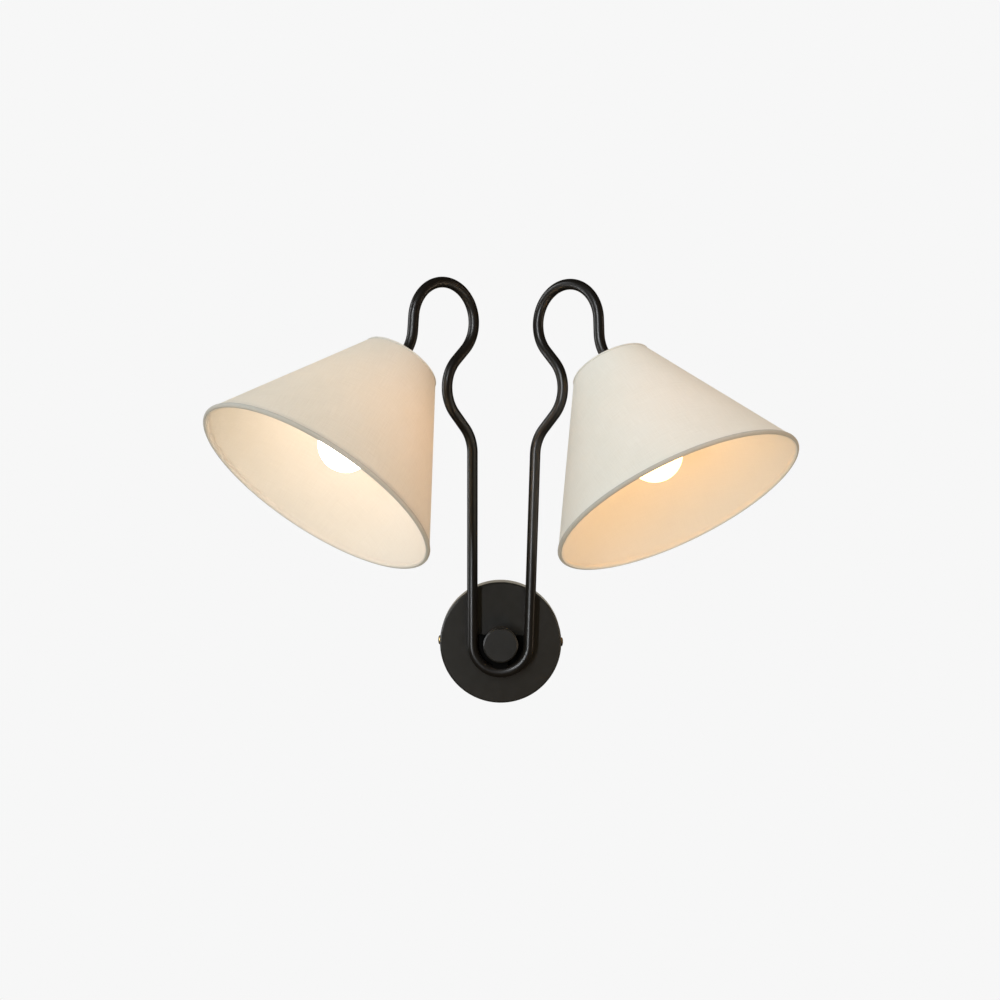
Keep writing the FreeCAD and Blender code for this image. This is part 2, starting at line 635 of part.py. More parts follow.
def makeYoke(word, frame):
    side = word.lower()
    base_top = size.swivelRise - size.swivelGap
    base_bottom = base_top - size.yokeBaseThickness
    width = size.tongueWidth + 2 * size.cheekClearance + 2 * size.cheekThickness
    width_words = "tongueWidth + 2 * cheekClearance + 2 * cheekThickness"
    eye = solid("Cylinder", f"{word}YokeEye", acrossY(frame, y=width / 2), Radius="knuckleRadius",
                Height=width_words)
    cheeks = solid("Box", f"{word}YokeCheeks", shifted(frame, -size.knuckleRadius, -width / 2, 0),
                   Length="knuckleRadius * 2", Width=width_words,
                   Height="swivelRise - swivelGap - yokeBaseThickness / 2")
    base = solid("Cylinder", f"{word}YokeBase", shifted(frame, z=base_bottom), Radius="yokeBaseDiameter / 2",
                 Height="yokeBaseThickness")
    stem = solid("Cylinder", f"{word}YokeStem", shifted(frame, z=base_top - size.weld),
                 Radius="yokeStemDiameter / 2", Height="yokeStemLength + weld")
    slot_width = size.tongueWidth + 2 * size.cheekClearance
    slot = solid("Box", f"{word}YokeSlot",
                 shifted(frame, -size.yokeBaseDiameter, -slot_width / 2, -size.knuckleRadius * 2),
                 Length="yokeBaseDiameter * 2", Width="tongueWidth + 2 * cheekClearance",
                 Height="knuckleRadius * 2 + swivelRise - swivelGap - yokeBaseThickness")
    pin_hole = solid("Cylinder", f"{word}YokePinHole", acrossY(frame, y=width),
                     Radius="pivotScrewDiameter / 2 + runningClearance", Height=f"({width_words}) * 2")
    way = solid("Cylinder", f"{word}YokeLeadWay", shifted(frame, z=base_bottom - size.cutterOver),
                Radius="leadWay / 2", Height="yokeBaseThickness + yokeStemLength + 2 * cutterOver")
    node(f"{side}_swivel_yoke", cut(f"{word}SwivelYoke",
                                    fused(f"{word}YokeBlank", eye, cheeks, base, stem), slot, pin_hole, way))
    head_start = width / 2 + size.pivotHeadThickness
    screw_length = f"pivotHeadThickness + {width_words} + pivotNutThickness + pivotScrewTip"
    node(f"{side}_pivot_screw", turned(f"{word}PivotScrew", acrossY(frame, y=head_start), [
        ("0", "0"),
        ("pivotHeadDiameter / 2 - edgeBevel", "0"),
        ("pivotHeadDiameter / 2", "edgeBevel"),
        ("pivotHeadDiameter / 2", "pivotHeadThickness"),
        ("pivotScrewDiameter / 2", "pivotHeadThickness"),
        ("pivotScrewDiameter / 2", screw_length),
        ("0", screw_length),
    ]))
    nut = solid("Prism", f"{word}PivotNutHex", acrossY(frame, y=-width / 2),
                Circumradius="pivotNutFlats / sqrt(3)", Height="pivotNutThickness")
    nut.Polygon = 6
    bore = solid("Cylinder", f"{word}PivotNutBore", acrossY(frame, y=-width / 2 + size.cutterOver),
                 Radius="pivotScrewDiameter / 2 + runningClearance",
                 Height="pivotNutThickness + 2 * cutterOver")
    node(f"{side}_pivot_nut", cut(f"{word}PivotNut", nut, bore))


def makeBush(word, path):
    """A brass bush pressed into the tube's end, where the yoke's stem turns."""
    start = path.point - path.heading * size.bushLength
    node(f"{word.lower()}_end_bush", washer(f"{word}EndBush", along(start, path.heading),
                                            "tubeDiameter - 2 * tubeWall",
                                            "yokeStemDiameter + 2 * runningClearance", "bushLength"))


def makeTongue(word, frame):
    eye = solid("Cylinder", f"{word}TongueEye", acrossY(frame, y=size.tongueWidth / 2),
                Radius="knuckleRadius", Height="tongueWidth")
    neck = solid("Box", f"{word}TongueNeck",
                 shifted(frame, -size.knuckleRadius, -size.tongueWidth / 2, -size.flangeDrop - size.weld),
                 Length="knuckleRadius * 2", Width="tongueWidth", Height="flangeDrop + weld")
    stem_drop = size.flangeDrop + size.flangeThickness + size.holderStemLength
    flange = solid("Cylinder", f"{word}TongueFlange",
                   shifted(frame, z=-size.flangeDrop - size.flangeThickness), Radius="flangeDiameter / 2",
                   Height="flangeThickness")
    stem = solid("Cylinder", f"{word}TongueStem", shifted(frame, z=-stem_drop),
                 Radius="holderStemDiameter / 2", Height="holderStemLength + flangeThickness / 2")
    pin_hole = solid("Cylinder", f"{word}TonguePinHole", acrossY(frame, y=size.tongueWidth),
                     Radius="pivotScrewDiameter / 2 + runningClearance", Height="tongueWidth * 2")
    way = solid("Cylinder", f"{word}TongueLeadWay", shifted(frame, z=-stem_drop - size.cutterOver),
                Radius="leadWay / 2",
                Height="holderStemLength + flangeThickness + leadWay / 2 + cutterOver")
    exit_height = -size.flangeDrop + size.leadWay / 2
    side_way = solid("Cylinder", f"{word}TongueSideWay",
                     alongX(frame, x=-size.knuckleRadius - size.cutterOver, z=exit_height),
                     Radius="leadWay / 2", Height="knuckleRadius + cutterOver")
    node(f"{word.lower()}_swivel_tongue", cut(f"{word}SwivelTongue",
                                              fused(f"{word}TongueBlank", eye, neck, flange, stem),
                                              pin_hole, way, side_way))


capTopDrop = size.flangeDrop + size.flangeThickness
capBottomDrop = capTopDrop + size.holderCapHeight
bodyBottomDrop = capBottomDrop + size.holderBodyHeight
shoulderDrop = bodyBottomDrop - size.skirtHeight
carrierBottomDrop = capBottomDrop + size.fitClearance + size.carrierThickness
contactDrop = carrierBottomDrop + size.contactThickness
globeDrop = contactDrop + size.fitClearance + size.bulbCentreBelowTip


def makeLampholder(word, frame):
    side = word.lower()
    node(f"{side}_lampholder_cap", turned(f"{word}LampholderCap", shifted(frame, z=-capBottomDrop), [
        ("holderDiameter / 2 - holderCapWall", "0"),
        ("holderDiameter / 2", "0"),
        ("holderDiameter / 2", "holderCapSkirt"),
        ("flangeDiameter / 2", "holderCapHeight - holderStemLength"),
        ("flangeDiameter / 2", "holderCapHeight"),
        ("holderStemDiameter / 2 + runningClearance", "holderCapHeight"),
        ("holderStemDiameter / 2 + runningClearance", "holderCapHeight - holderCapNeck"),
        ("holderCapThroat / 2", "holderCapHeight - holderCapNeck - holderCapWall / 2"),
        ("holderDiameter / 2 - holderCapWall", "holderCapSkirt - holderCapWall / 2"),
    ]))
    node(f"{side}_lampholder_body", turned(f"{word}LampholderBody", shifted(frame, z=-bodyBottomDrop), [
        ("holderDiameter / 2 - holderWall", "0"),
        ("skirtDiameter / 2", "0"),
        ("skirtDiameter / 2", "skirtHeight"),
        ("shoulderDiameter / 2", "skirtHeight"),
        ("shoulderDiameter / 2", "skirtHeight + shoulderThickness"),
        ("holderDiameter / 2", "skirtHeight + shoulderThickness"),
        ("holderDiameter / 2", "holderBodyHeight"),
        ("holderDiameter / 2 - holderWall", "holderBodyHeight"),
    ]))
    node(f"{side}_contact_carrier", turned(f"{word}ContactCarrier", shifted(frame, z=-carrierBottomDrop), [
        ("0", "0"),
        ("holderDiameter / 2 - holderWall - fitClearance", "0"),
        ("holderDiameter / 2 - holderWall - fitClearance", "carrierThickness"),
        ("0", "carrierThickness"),
    ]))
    node(f"{side}_screw_shell", washer(f"{word}ScrewShell",
                                       shifted(frame, z=-carrierBottomDrop - size.screwShellHeight),
                                       "screwShellDiameter", "screwShellDiameter - 2 * screwShellWall",
                                       "screwShellHeight"))
    node(f"{side}_centre_contact", solid("Cylinder", f"{word}CentreContact", shifted(frame, z=-contactDrop),
                                         Radius="contactDiameter / 2", Height="contactThickness"))
    ring_top = shoulderDrop + size.fitClearance + size.spiderRingThickness + size.fitClearance
    node(f"{side}_shade_ring_nut", washer(f"{word}ShadeRingNut",
                                          shifted(frame, z=-ring_top - size.ringNutThickness),
                                          "ringNutDiameter", "skirtDiameter + 2 * runningClearance",
                                          "ringNutThickness"))


def makeBulb(word, frame):
    side = word.lower()
    base_drop = contactDrop + size.fitClearance + size.bulbBaseHeight
    node(f"{side}_bulb_base", turned(f"{word}BulbBase", shifted(frame, z=-base_drop), [
        ("bulbBaseDiameter / 2 - bulbBaseWall", "0"),
        ("bulbBaseDiameter / 2", "0"),
        ("bulbBaseDiameter / 2", "bulbBaseHeight - bulbBaseShoulder"),
        ("bulbTipDiameter / 2", "bulbBaseHeight"),
        ("0", "bulbBaseHeight"),
        ("0", "bulbBaseHeight - bulbBaseWall"),
        ("bulbTipDiameter / 2 - bulbBaseWall / 2", "bulbBaseHeight - bulbBaseWall"),
        ("bulbBaseDiameter / 2 - bulbBaseWall", "bulbBaseHeight - bulbBaseShoulder - bulbBaseWall"),
    ]))
    skins = []
    for skin, loss in (("Outside", "0"), ("Inside", "bulbGlass")):
        globe = solid("Sphere", f"{word}Globe{skin}", shifted(frame, z=-globeDrop),
                      Radius=f"bulbDiameter / 2 - {loss}")
        neck = solid("Cylinder", f"{word}Neck{skin}", shifted(frame, z=-globeDrop),
                     Radius=f"bulbNeckDiameter / 2 - {loss}",
                     Height=f"bulbCentreBelowTip - bulbBaseHeight + bulbNeckInBase - {loss}")
        skins.append(fused(f"{word}Glass{skin}", globe, neck))
    node(f"{side}_bulb_globe", cut(f"{word}BulbGlobe", *skins))
    print(f"{word} bulb, globe middle {globeDrop:.1f} mm below the pivot")


def makeShade(word, frame):
    """Two wire rings rolled in cloth, spokes up from the ring on the lampholder, and the cloth cone."""
    side = word.lower()
    top_height = size.shadeTopAbovePivot
    bottom_height = top_height - size.shadeHeight
    top_ring = solid("Torus", f"{word}TopRim", shifted(frame, z=top_height),
                     Radius1="shadeTopDiameter / 2 - rimDiameter / 2", Radius2="rimDiameter / 2")
    bottom_ring = solid("Torus", f"{word}BottomRim", shifted(frame, z=bottom_height),
                        Radius1="shadeBottomDiameter / 2 - rimDiameter / 2", Radius2="rimDiameter / 2")
    outer = solid("Cone", f"{word}ConeOutside", shifted(frame, z=bottom_height),
                  Radius1="shadeBottomDiameter / 2", Radius2="shadeTopDiameter / 2", Height="shadeHeight")
    inner = solid("Cone", f"{word}ConeInside", shifted(frame, z=bottom_height),
                  Radius1="shadeBottomDiameter / 2 - shadeCloth", Radius2="shadeTopDiameter / 2 - shadeCloth",
                  Height="shadeHeight")
    node(f"{side}_shade_bottom_ring", bottom_ring)
    ring_top = shoulderDrop + size.fitClearance
    flat_ring = washer(f"{word}SpiderRing", shifted(frame, z=-ring_top - size.spiderRingThickness),
                       "spiderRingDiameter", "skirtDiameter + 2 * runningClearance", "spiderRingThickness")
    root_radius = size.shoulderDiameter / 2 + size.spokeClearance + size.spiderWire / 2
    root = Vector(root_radius, 0, -ring_top - size.spiderRingThickness / 2)
    tip = Vector(size.shadeTopDiameter / 2 - size.rimDiameter, 0, top_height)
    reach = tip - root
    spokes = []
    for number in range(spokeCount):
        angle = size.spokeTurn + number * fullTurn / spokeCount
        turn = Placement(Vector(), Rotation(Vector(0, 0, 1), angle))
        spoke_frame = frame.multiply(turn).multiply(along(root, reach))
        spoke = solid("Cylinder", f"{word}Spoke{number + 1}", spoke_frame, Radius="spiderWire / 2")
        spoke.Height = reach.Length
        spokes.append(spoke)
    node(f"{side}_shade_spider", fused(f"{word}ShadeSpider", top_ring, flat_ring, *spokes))
    node(f"{side}_shade_cloth", cut(f"{word}ShadeCloth", outer, inner, top_ring, bottom_ring))


# ------------------------------------------------------------------ build
makeCanopy()
makeCrossbar()
makeGroundScrew()
makeSideScrews()
makeNipple()
makeHubWashers()
makeClampKnob()
tubeEnds = makeTubes()
makeLeads()
makeSplice()
for word, side, swivel, tilt in (
    ("Left", -1, size.leftSwivel, size.leftTilt),
    ("Right", 1, size.rightSwivel, size.rightTilt),
):
    yokeFrame, headFrame = headFrames(side, tubeEnds[side], swivel, tilt)
    makeBush(word, tubeEnds[side])
    makeYoke(word, yokeFrame)
    makeTongue(word, headFrame)
    makeLampholder(word, headFrame)
    makeBulb(word, headFrame)
    makeShade(word, headFrame)
    pivot = headFrame.Base
    swivel_axis = tubeEnds[side].heading
    tilt_axis = headFrame.Rotation.multVec(Vector(0, 1, 0))
    head_down = headFrame.Rotation.multVec(Vector(0, 0, -1))
    print(f"{word} pivot", tuple(round(value, 3) for value in pivot))
    print(f"{word} swivel axis", tuple(round(value, 6) for value in swivel_axis))
    print(f"{word} tilt axis", tuple(round(value, 6) for value in tilt_axis))
    print(f"{word} shade axis", tuple(round(value, 6) for value in head_down))

doc.recompute()

# ------------------------------------------------------------------ checks and files
for item in doc.Objects:
    if "Invalid" in item.State or "Error" in item.State:
        raise RuntimeError(f"{item.Name} failed: {item.State}")
os.makedirs("parts", exist_ok=True)
for piece in NODES:
    shape = piece.Shape
    if shape.isNull() or not shape.isValid() or not shape.Solids:
        raise RuntimeError(f"{piece.Label} has no valid solid")
    shape.exportStep(os.path.join("parts", piece.Label + ".step"))
    print(f"{piece.Label}: {len(shape.Solids)} solid, {shape.Volume / 1000:.2f} cm3")
print(len(NODES), "nodes")
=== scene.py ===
import math

import bmesh
import bpy
from mathutils import Matrix, Vector, noise


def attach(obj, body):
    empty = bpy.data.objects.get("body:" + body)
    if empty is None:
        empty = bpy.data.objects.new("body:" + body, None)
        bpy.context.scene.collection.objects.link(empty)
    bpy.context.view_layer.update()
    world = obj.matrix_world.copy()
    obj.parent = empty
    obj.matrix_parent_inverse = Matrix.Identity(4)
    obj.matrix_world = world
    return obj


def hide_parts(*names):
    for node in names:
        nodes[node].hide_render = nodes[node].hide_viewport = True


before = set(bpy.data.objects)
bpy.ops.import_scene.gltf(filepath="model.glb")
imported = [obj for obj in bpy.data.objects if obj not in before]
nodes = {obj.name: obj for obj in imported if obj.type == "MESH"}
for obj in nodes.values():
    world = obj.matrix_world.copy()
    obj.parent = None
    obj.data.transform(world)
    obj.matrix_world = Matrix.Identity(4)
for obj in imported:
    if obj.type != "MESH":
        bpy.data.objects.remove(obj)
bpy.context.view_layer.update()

scene = bpy.context.scene
mm = 0.001


# the camera stands where the photograph was taken
camera = {
    "place": (-0.00199, -1.525, 0.21766),
    "turn": (87.16625, -0.94916, 0.08582),  # degrees; the fixture hangs a degree off level
    "lens": 54.12,
    "sensor": 36,
    "near": 0.05,
    "far": 60,
}


def makeCamera():
    data = bpy.data.cameras.new("photoCamera")
    data.lens = camera["lens"]
    data.sensor_width = camera["sensor"]
    data.clip_start = camera["near"]
    data.clip_end = camera["far"]
    eye = bpy.data.objects.new("photoCamera", data)
    eye.location = camera["place"]
    eye.rotation_euler = [math.radians(a) for a in camera["turn"]]
    scene.collection.objects.link(eye)
    scene.camera = eye


makeCamera()


# studio: a seamless white sweep in a white dome, a tall window at the front left, warm fills from the
# right and from below
studio = {
    "white": 0.93,
    "floorHeight": -1.35,
    "backDistance": 2.4,
    "sweepRadius": 0.9,
    "sweepSteps": 16,
    "halfWidth": 6.0,
    "front": -5.0,
    "top": 5.0,
    "domeRadius": 9.0,
    "domeFaces": (24, 12),  # round and up
    "room": (0.95, 0.948, 0.86),
    "roomStrength": 0.48,
    "lights": [
        # name, place, aimed at, width, height, watts, colour, mirrored in glossy pieces
        ("tallWindow", (-0.95, -2.25, 0.55), (0, -0.05, 0.15), 0.20, 2.2, 28, (0.91, 0.945, 0.98), True),
        ("sideWindow", (-1.8, 0.1, 0.5), (0, -0.03, 0.05), 0.16, 1.7, 8, (0.95, 0.97, 1.0), True),
        ("rightStrip", (1.9, 0.0, 0.1), (0, -0.03, 0.1), 0.08, 1.5, 2.2, (1.0, 0.80, 0.60), True),
        ("warmFill", (1.7, -0.7, 0.9), (0.1, -0.12, 0.15), 0.7, 0.7, 8.1, (1.0, 0.524, 0.22), False),
        ("lowFill", (0.35, -1.5, -1.0), (0, -0.12, 0.15), 0.9, 0.9, 5.4, (1.0, 0.57, 0.12), False),
        ("ceilingLight", (-0.45, -0.55, 2.0), (0, -0.1, 0.1), 1.4, 1.4, 9.2, (0.80, 0.883, 0.95), False),
    ],
    # a warm beam over the right shade onto the near side of the left one
    "beam": {"place": (0.85, -0.75, 0.78), "aim": (-0.07, -0.14, 0.165), "degrees": 12.5, "blend": 1.0,
             "softness": 0.06, "watts": 15, "colour": (1.0, 0.50, 0.33)},
    # a beige card far behind, seen only as the canopy's side mirrors it
    "card": {"away": 2.3, "left": -0.8, "right": 0.8, "low": -0.2, "high": 1.1,
             "colour": (0.80, 0.72, 0.58)},
}


def glowingPaper(name, colour):
    paper = bpy.data.materials.new(name)
    paper.use_nodes = True
    tree = paper.node_tree
    tree.nodes.clear()
    glow = tree.nodes.new("ShaderNodeEmission")
    glow.inputs["Color"].default_value = (*colour, 1)
    out = tree.nodes.new("ShaderNodeOutputMaterial")
    tree.links.new(glow.outputs[0], out.inputs["Surface"])
    return paper


def hang(name, bm, colour):
    # sweep, dome and card are only seen or mirrored; the lamps and the room do the lighting
    mesh = bpy.data.meshes.new(name)
    bm.to_mesh(mesh)
    bm.free()
    mesh.materials.append(glowingPaper(f"{name}Paper", colour))
    piece = bpy.data.objects.new(name, mesh)
    scene.collection.objects.link(piece)
    piece.visible_diffuse = False
    piece.visible_transmission = False
    piece.visible_shadow = False
    return piece


def makeSweep():
    floor, back = studio["floorHeight"], studio["backDistance"]
    radius, steps = studio["sweepRadius"], studio["sweepSteps"]
    line = [(studio["front"], floor)]
    for step in range(steps + 1):
        angle = math.radians(90 * step / steps)
        line.append((back - radius + radius * math.sin(angle), floor + radius - radius * math.cos(angle)))
    line.append((back, studio["top"]))
    bm = bmesh.new()
    half = studio["halfWidth"]
    rows = [[bm.verts.new((x, y, z)) for x in (-half, half)] for y, z in line]
    for lower, upper in zip(rows, rows[1:]):
        bm.faces.new((lower[0], lower[1], upper[1], upper[0])).smooth = True
    sweep = hang("whiteSweep", bm, (studio["white"],) * 3)
    sweep.visible_glossy = False


def makeDome():
    # the same white all round, for the sides and the back
    bm = bmesh.new()
    around, upward = studio["domeFaces"]
    bmesh.ops.create_uvsphere(bm, u_segments=around, v_segments=upward, radius=studio["domeRadius"])
    dome = hang("whiteDome", bm, (studio["white"],) * 3)
    dome.visible_glossy = False


def makeCard():
    card = studio["card"]
    bm = bmesh.new()
    corners = [(card["left"], card["low"]), (card["right"], card["low"]),
               (card["right"], card["high"]), (card["left"], card["high"])]
    bm.faces.new([bm.verts.new((x, card["away"], z)) for x, z in corners])
    piece = hang("beigeCard", bm, card["colour"])
    piece.visible_camera = False


def pointAt(lamp, place, aim):
    lamp.location = place
    lamp.rotation_euler = (Vector(aim) - Vector(place)).to_track_quat("-Z", "Y").to_euler()
    scene.collection.objects.link(lamp)


def makeLights():
    for name, place, aim, width, height, watts, colour, mirrored in studio["lights"]:
        data = bpy.data.lights.new(name, "AREA")
        data.shape = "RECTANGLE"
        data.size = width
        data.size_y = height
        data.energy = watts
        data.color = colour
        lamp = bpy.data.objects.new(name, data)
        lamp.visible_glossy = mirrored
        pointAt(lamp, place, aim)
    beam = studio["beam"]
    data = bpy.data.lights.new("warmBeam", "SPOT")
    data.spot_size = math.radians(beam["degrees"])
    data.spot_blend = beam["blend"]
    data.shadow_soft_size = beam["softness"]
    data.energy = beam["watts"]
    data.color = beam["colour"]
    lamp = bpy.data.objects.new("warmBeam", data)
    lamp.visible_glossy = False
    pointAt(lamp, beam["place"], beam["aim"])
    world = bpy.data.worlds.new("room")
    scene.world = world
    world.use_nodes = True
    sky = world.node_tree.nodes["Background"]
    sky.inputs["Color"].default_value = (*studio["room"], 1)
    sky.inputs["Strength"].default_value = studio["roomStrength"]
    world.cycles_visibility.glossy = False  # only the lamps and the card are mirrored


makeSweep()
makeDome()
makeCard()
makeLights()
scene.view_settings.view_transform = "Standard"
print("camera and studio ready")


def newMaterial(name):
    material = bpy.data.materials.new(name)
    material.use_nodes = True
    tree = material.node_tree
    return material, tree, tree.nodes["Principled BSDF"]


def calc(tree, operation, first, second=None):
    node = tree.nodes.new("ShaderNodeMath")
    node.operation = operation
    for slot, value in zip(node.inputs, (first, second)):
        if isinstance(value, (int, float)):
            slot.default_value = value
        elif value is not None:
            tree.links.new(value, slot)
    return node.outputs[0]


noiseRange = (0.3, 0.7)  # where nearly all of a noise texture's values lie


def spread(tree, value, low, high):
    node = tree.nodes.new("ShaderNodeMapRange")
    tree.links.new(value, node.inputs["Value"])
    node.inputs["From Min"].default_value = noiseRange[0]
    node.inputs["From Max"].default_value = noiseRange[1]
    node.inputs["To Min"].default_value = low
    node.inputs["To Max"].default_value = high
    return node.outputs[0]


def blendColour(tree, share, first, second):
    node = tree.nodes.new("ShaderNodeMix")
    node.data_type = "RGBA"
    tree.links.new(share, node.inputs[0])
    for slot, value in zip((node.inputs[6], node.inputs[7]), (first, second)):
        if isinstance(value, tuple):
            slot.default_value = (*value, 1)
        else:
            tree.links.new(value, slot)
    return node.outputs[2]


def coordinates(tree, kind, stretch=(1, 1, 1)):
    source = tree.nodes.new("ShaderNodeTexCoord")
    mapping = tree.nodes.new("ShaderNodeMapping")
    mapping.inputs["Scale"].default_value = stretch
    tree.links.new(source.outputs[kind], mapping.inputs["Vector"])
    return mapping.outputs[0]


def grain(tree, vector, scale, detail=3.0, roughness=0.55):
    node = tree.nodes.new("ShaderNodeTexNoise")
    tree.links.new(vector, node.inputs["Vector"])
    node.inputs["Scale"].default_value = scale
    node.inputs["Detail"].default_value = detail
    node.inputs["Roughness"].default_value = roughness
    return node.outputs["Fac"]


def raised(tree, shader, height, distance):
    node = tree.nodes.new("ShaderNodeBump")
    node.inputs["Distance"].default_value = distance
    tree.links.new(height, node.inputs["Height"])
    tree.links.new(node.outputs[0], shader.inputs["Normal"])


def coatedFinish(name, look):
    # sprayed or moulded finish: fine orange peel, soft tone changes and uneven gloss
    material, tree, shader = newMaterial(name)
    place = coordinates(tree, "Object")
    tone = grain(tree, place, look["toneScale"], detail=4)
    tree.links.new(blendColour(tree, tone, look["dark"], look["light"]), shader.inputs["Base Color"])
    gloss = grain(tree, place, look["glossScale"], detail=5)
    tree.links.new(spread(tree, gloss, *look["roughness"]), shader.inputs["Roughness"])
    peel = grain(tree, place, look["peelScale"], detail=2)
    raised(tree, shader, peel, look["peelDepth"])
    shader.inputs["Specular IOR Level"].default_value = look.get("specular", 0.5)
    shader.inputs["Coat Weight"].default_value = look.get("coat", 0.0)
    shader.inputs["Coat Roughness"].default_value = 0.2
    return material


def metalFinish(name, look):
    # bare or plated metal: lines left by turning or rolling, and a faint tarnish
    material, tree, shader = newMaterial(name)
    stretched = coordinates(tree, "Object", look["lineStretch"])
    lines = grain(tree, stretched, look["lineScale"], detail=6, roughness=0.7)
    tarnish = grain(tree, coordinates(tree, "Object"), look["tarnishScale"], detail=4)
    tree.links.new(blendColour(tree, spread(tree, tarnish, 0, 1), look["bright"], look["dull"]),
                   shader.inputs["Base Color"])
    both = calc(tree, "MULTIPLY", calc(tree, "ADD", lines, tarnish), 0.5)
    tree.links.new(spread(tree, both, *look["roughness"]), shader.inputs["Roughness"])
    raised(tree, shader, lines, look["lineDepth"])
    shader.inputs["Metallic"].default_value = 1.0
    return material


def weaveHeight(tree, vector, pitch):
    # plain weave: each thread is a rounded ridge that goes over and under the crossing ones
    parts = tree.nodes.new("ShaderNodeSeparateXYZ")
    tree.links.new(vector, parts.inputs[0])
    warp = calc(tree, "SINE", calc(tree, "MULTIPLY", parts.outputs[0], math.pi / pitch))
    weft = calc(tree, "SINE", calc(tree, "MULTIPLY", parts.outputs[1], math.pi / pitch))
    over = calc(tree, "ADD", calc(tree, "MULTIPLY", calc(tree, "MULTIPLY", warp, weft), 0.5), 0.5)
    under = calc(tree, "SUBTRACT", 1.0, over)
    return calc(tree, "ADD", calc(tree, "MULTIPLY", calc(tree, "ABSOLUTE", warp), over),
                calc(tree, "MULTIPLY", calc(tree, "ABSOLUTE", weft), under))


def linenFinish(name, look):
    # woven cloth in its flat cut's own metres: threads, thick slubs both ways, painted shade in the weave's
    # hollows, light passing through
    material, tree, shader = newMaterial(name)
    flat = coordinates(tree, "UV")
    lengthwise = coordinates(tree, "UV", (look["slubLong"], look["slubAcross"], 1))
    along = grain(tree, lengthwise, 1.0, roughness=0.6)
    crosswise = coordinates(tree, "UV", (look["slubAcross"], look["slubLong"], 1))
    across = grain(tree, crosswise, 1.0, roughness=0.6)
    slubs = calc(tree, "MULTIPLY", calc(tree, "ADD", along, across), 0.5)
    cloudy = grain(tree, flat, look["cloudScale"])
    threads = weaveHeight(tree, flat, look["pitch"])
    tone = blendColour(tree, spread(tree, slubs, 0, 1), look["shade"], look["colour"])
    tone = blendColour(tree, spread(tree, cloudy, 0, look["cloudShare"]), tone, look["cloud"])
    # painted shade: the colour goes toward the darker tone where the threads dip, in the weave's hollows
    paintedPitShade = spread(tree, threads, look["paintedPitShadeShare"], 0)
    tone = blendColour(tree, paintedPitShade, tone, look["shade"])
    tree.links.new(tone, shader.inputs["Base Color"])
    height = calc(tree, "ADD", calc(tree, "MULTIPLY", threads, look["threadShare"]), slubs)
    raised(tree, shader, height, look["depth"])
    shader.inputs["Roughness"].default_value = look["roughness"]
    shader.inputs["Specular IOR Level"].default_value = look["specular"]
    shader.inputs["Sheen Weight"].default_value = look["sheen"]
    shader.inputs["Sheen Roughness"].default_value = look["sheenRoughness"]
    through = tree.nodes.new("ShaderNodeBsdfTranslucent")
    tree.links.new(blendColour(tree, spread(tree, slubs, 0, 1), look["throughShade"], look["through"]),
                   through.inputs["Color"])
    both = tree.nodes.new("ShaderNodeMixShader")
    both.inputs[0].default_value = look["throughShare"]
    tree.links.new(shader.outputs[0], both.inputs[1])
    tree.links.new(through.outputs[0], both.inputs[2])
    tree.links.new(both.outputs[0], tree.nodes["Material Output"].inputs["Surface"])
    return material


def opalFinish(name, look):
    # lit opal glass: faint flow marks in the white coat inside it
    material, tree, shader = newMaterial(name)
    flow = grain(tree, coordinates(tree, "Object"), look["flowScale"])
    tree.links.new(blendColour(tree, flow, look["shade"], look["colour"]), shader.inputs["Base Color"])
    tree.links.new(blendColour(tree, spread(tree, flow, 0, 1), look["glowShade"], look["glow"]),
                   shader.inputs["Emission Color"])
    shader.inputs["Emission Strength"].default_value = look["strength"]
    tree.links.new(spread(tree, flow, *look["roughness"]), shader.inputs["Roughness"])
    raised(tree, shader, flow, look["depth"])
    return material


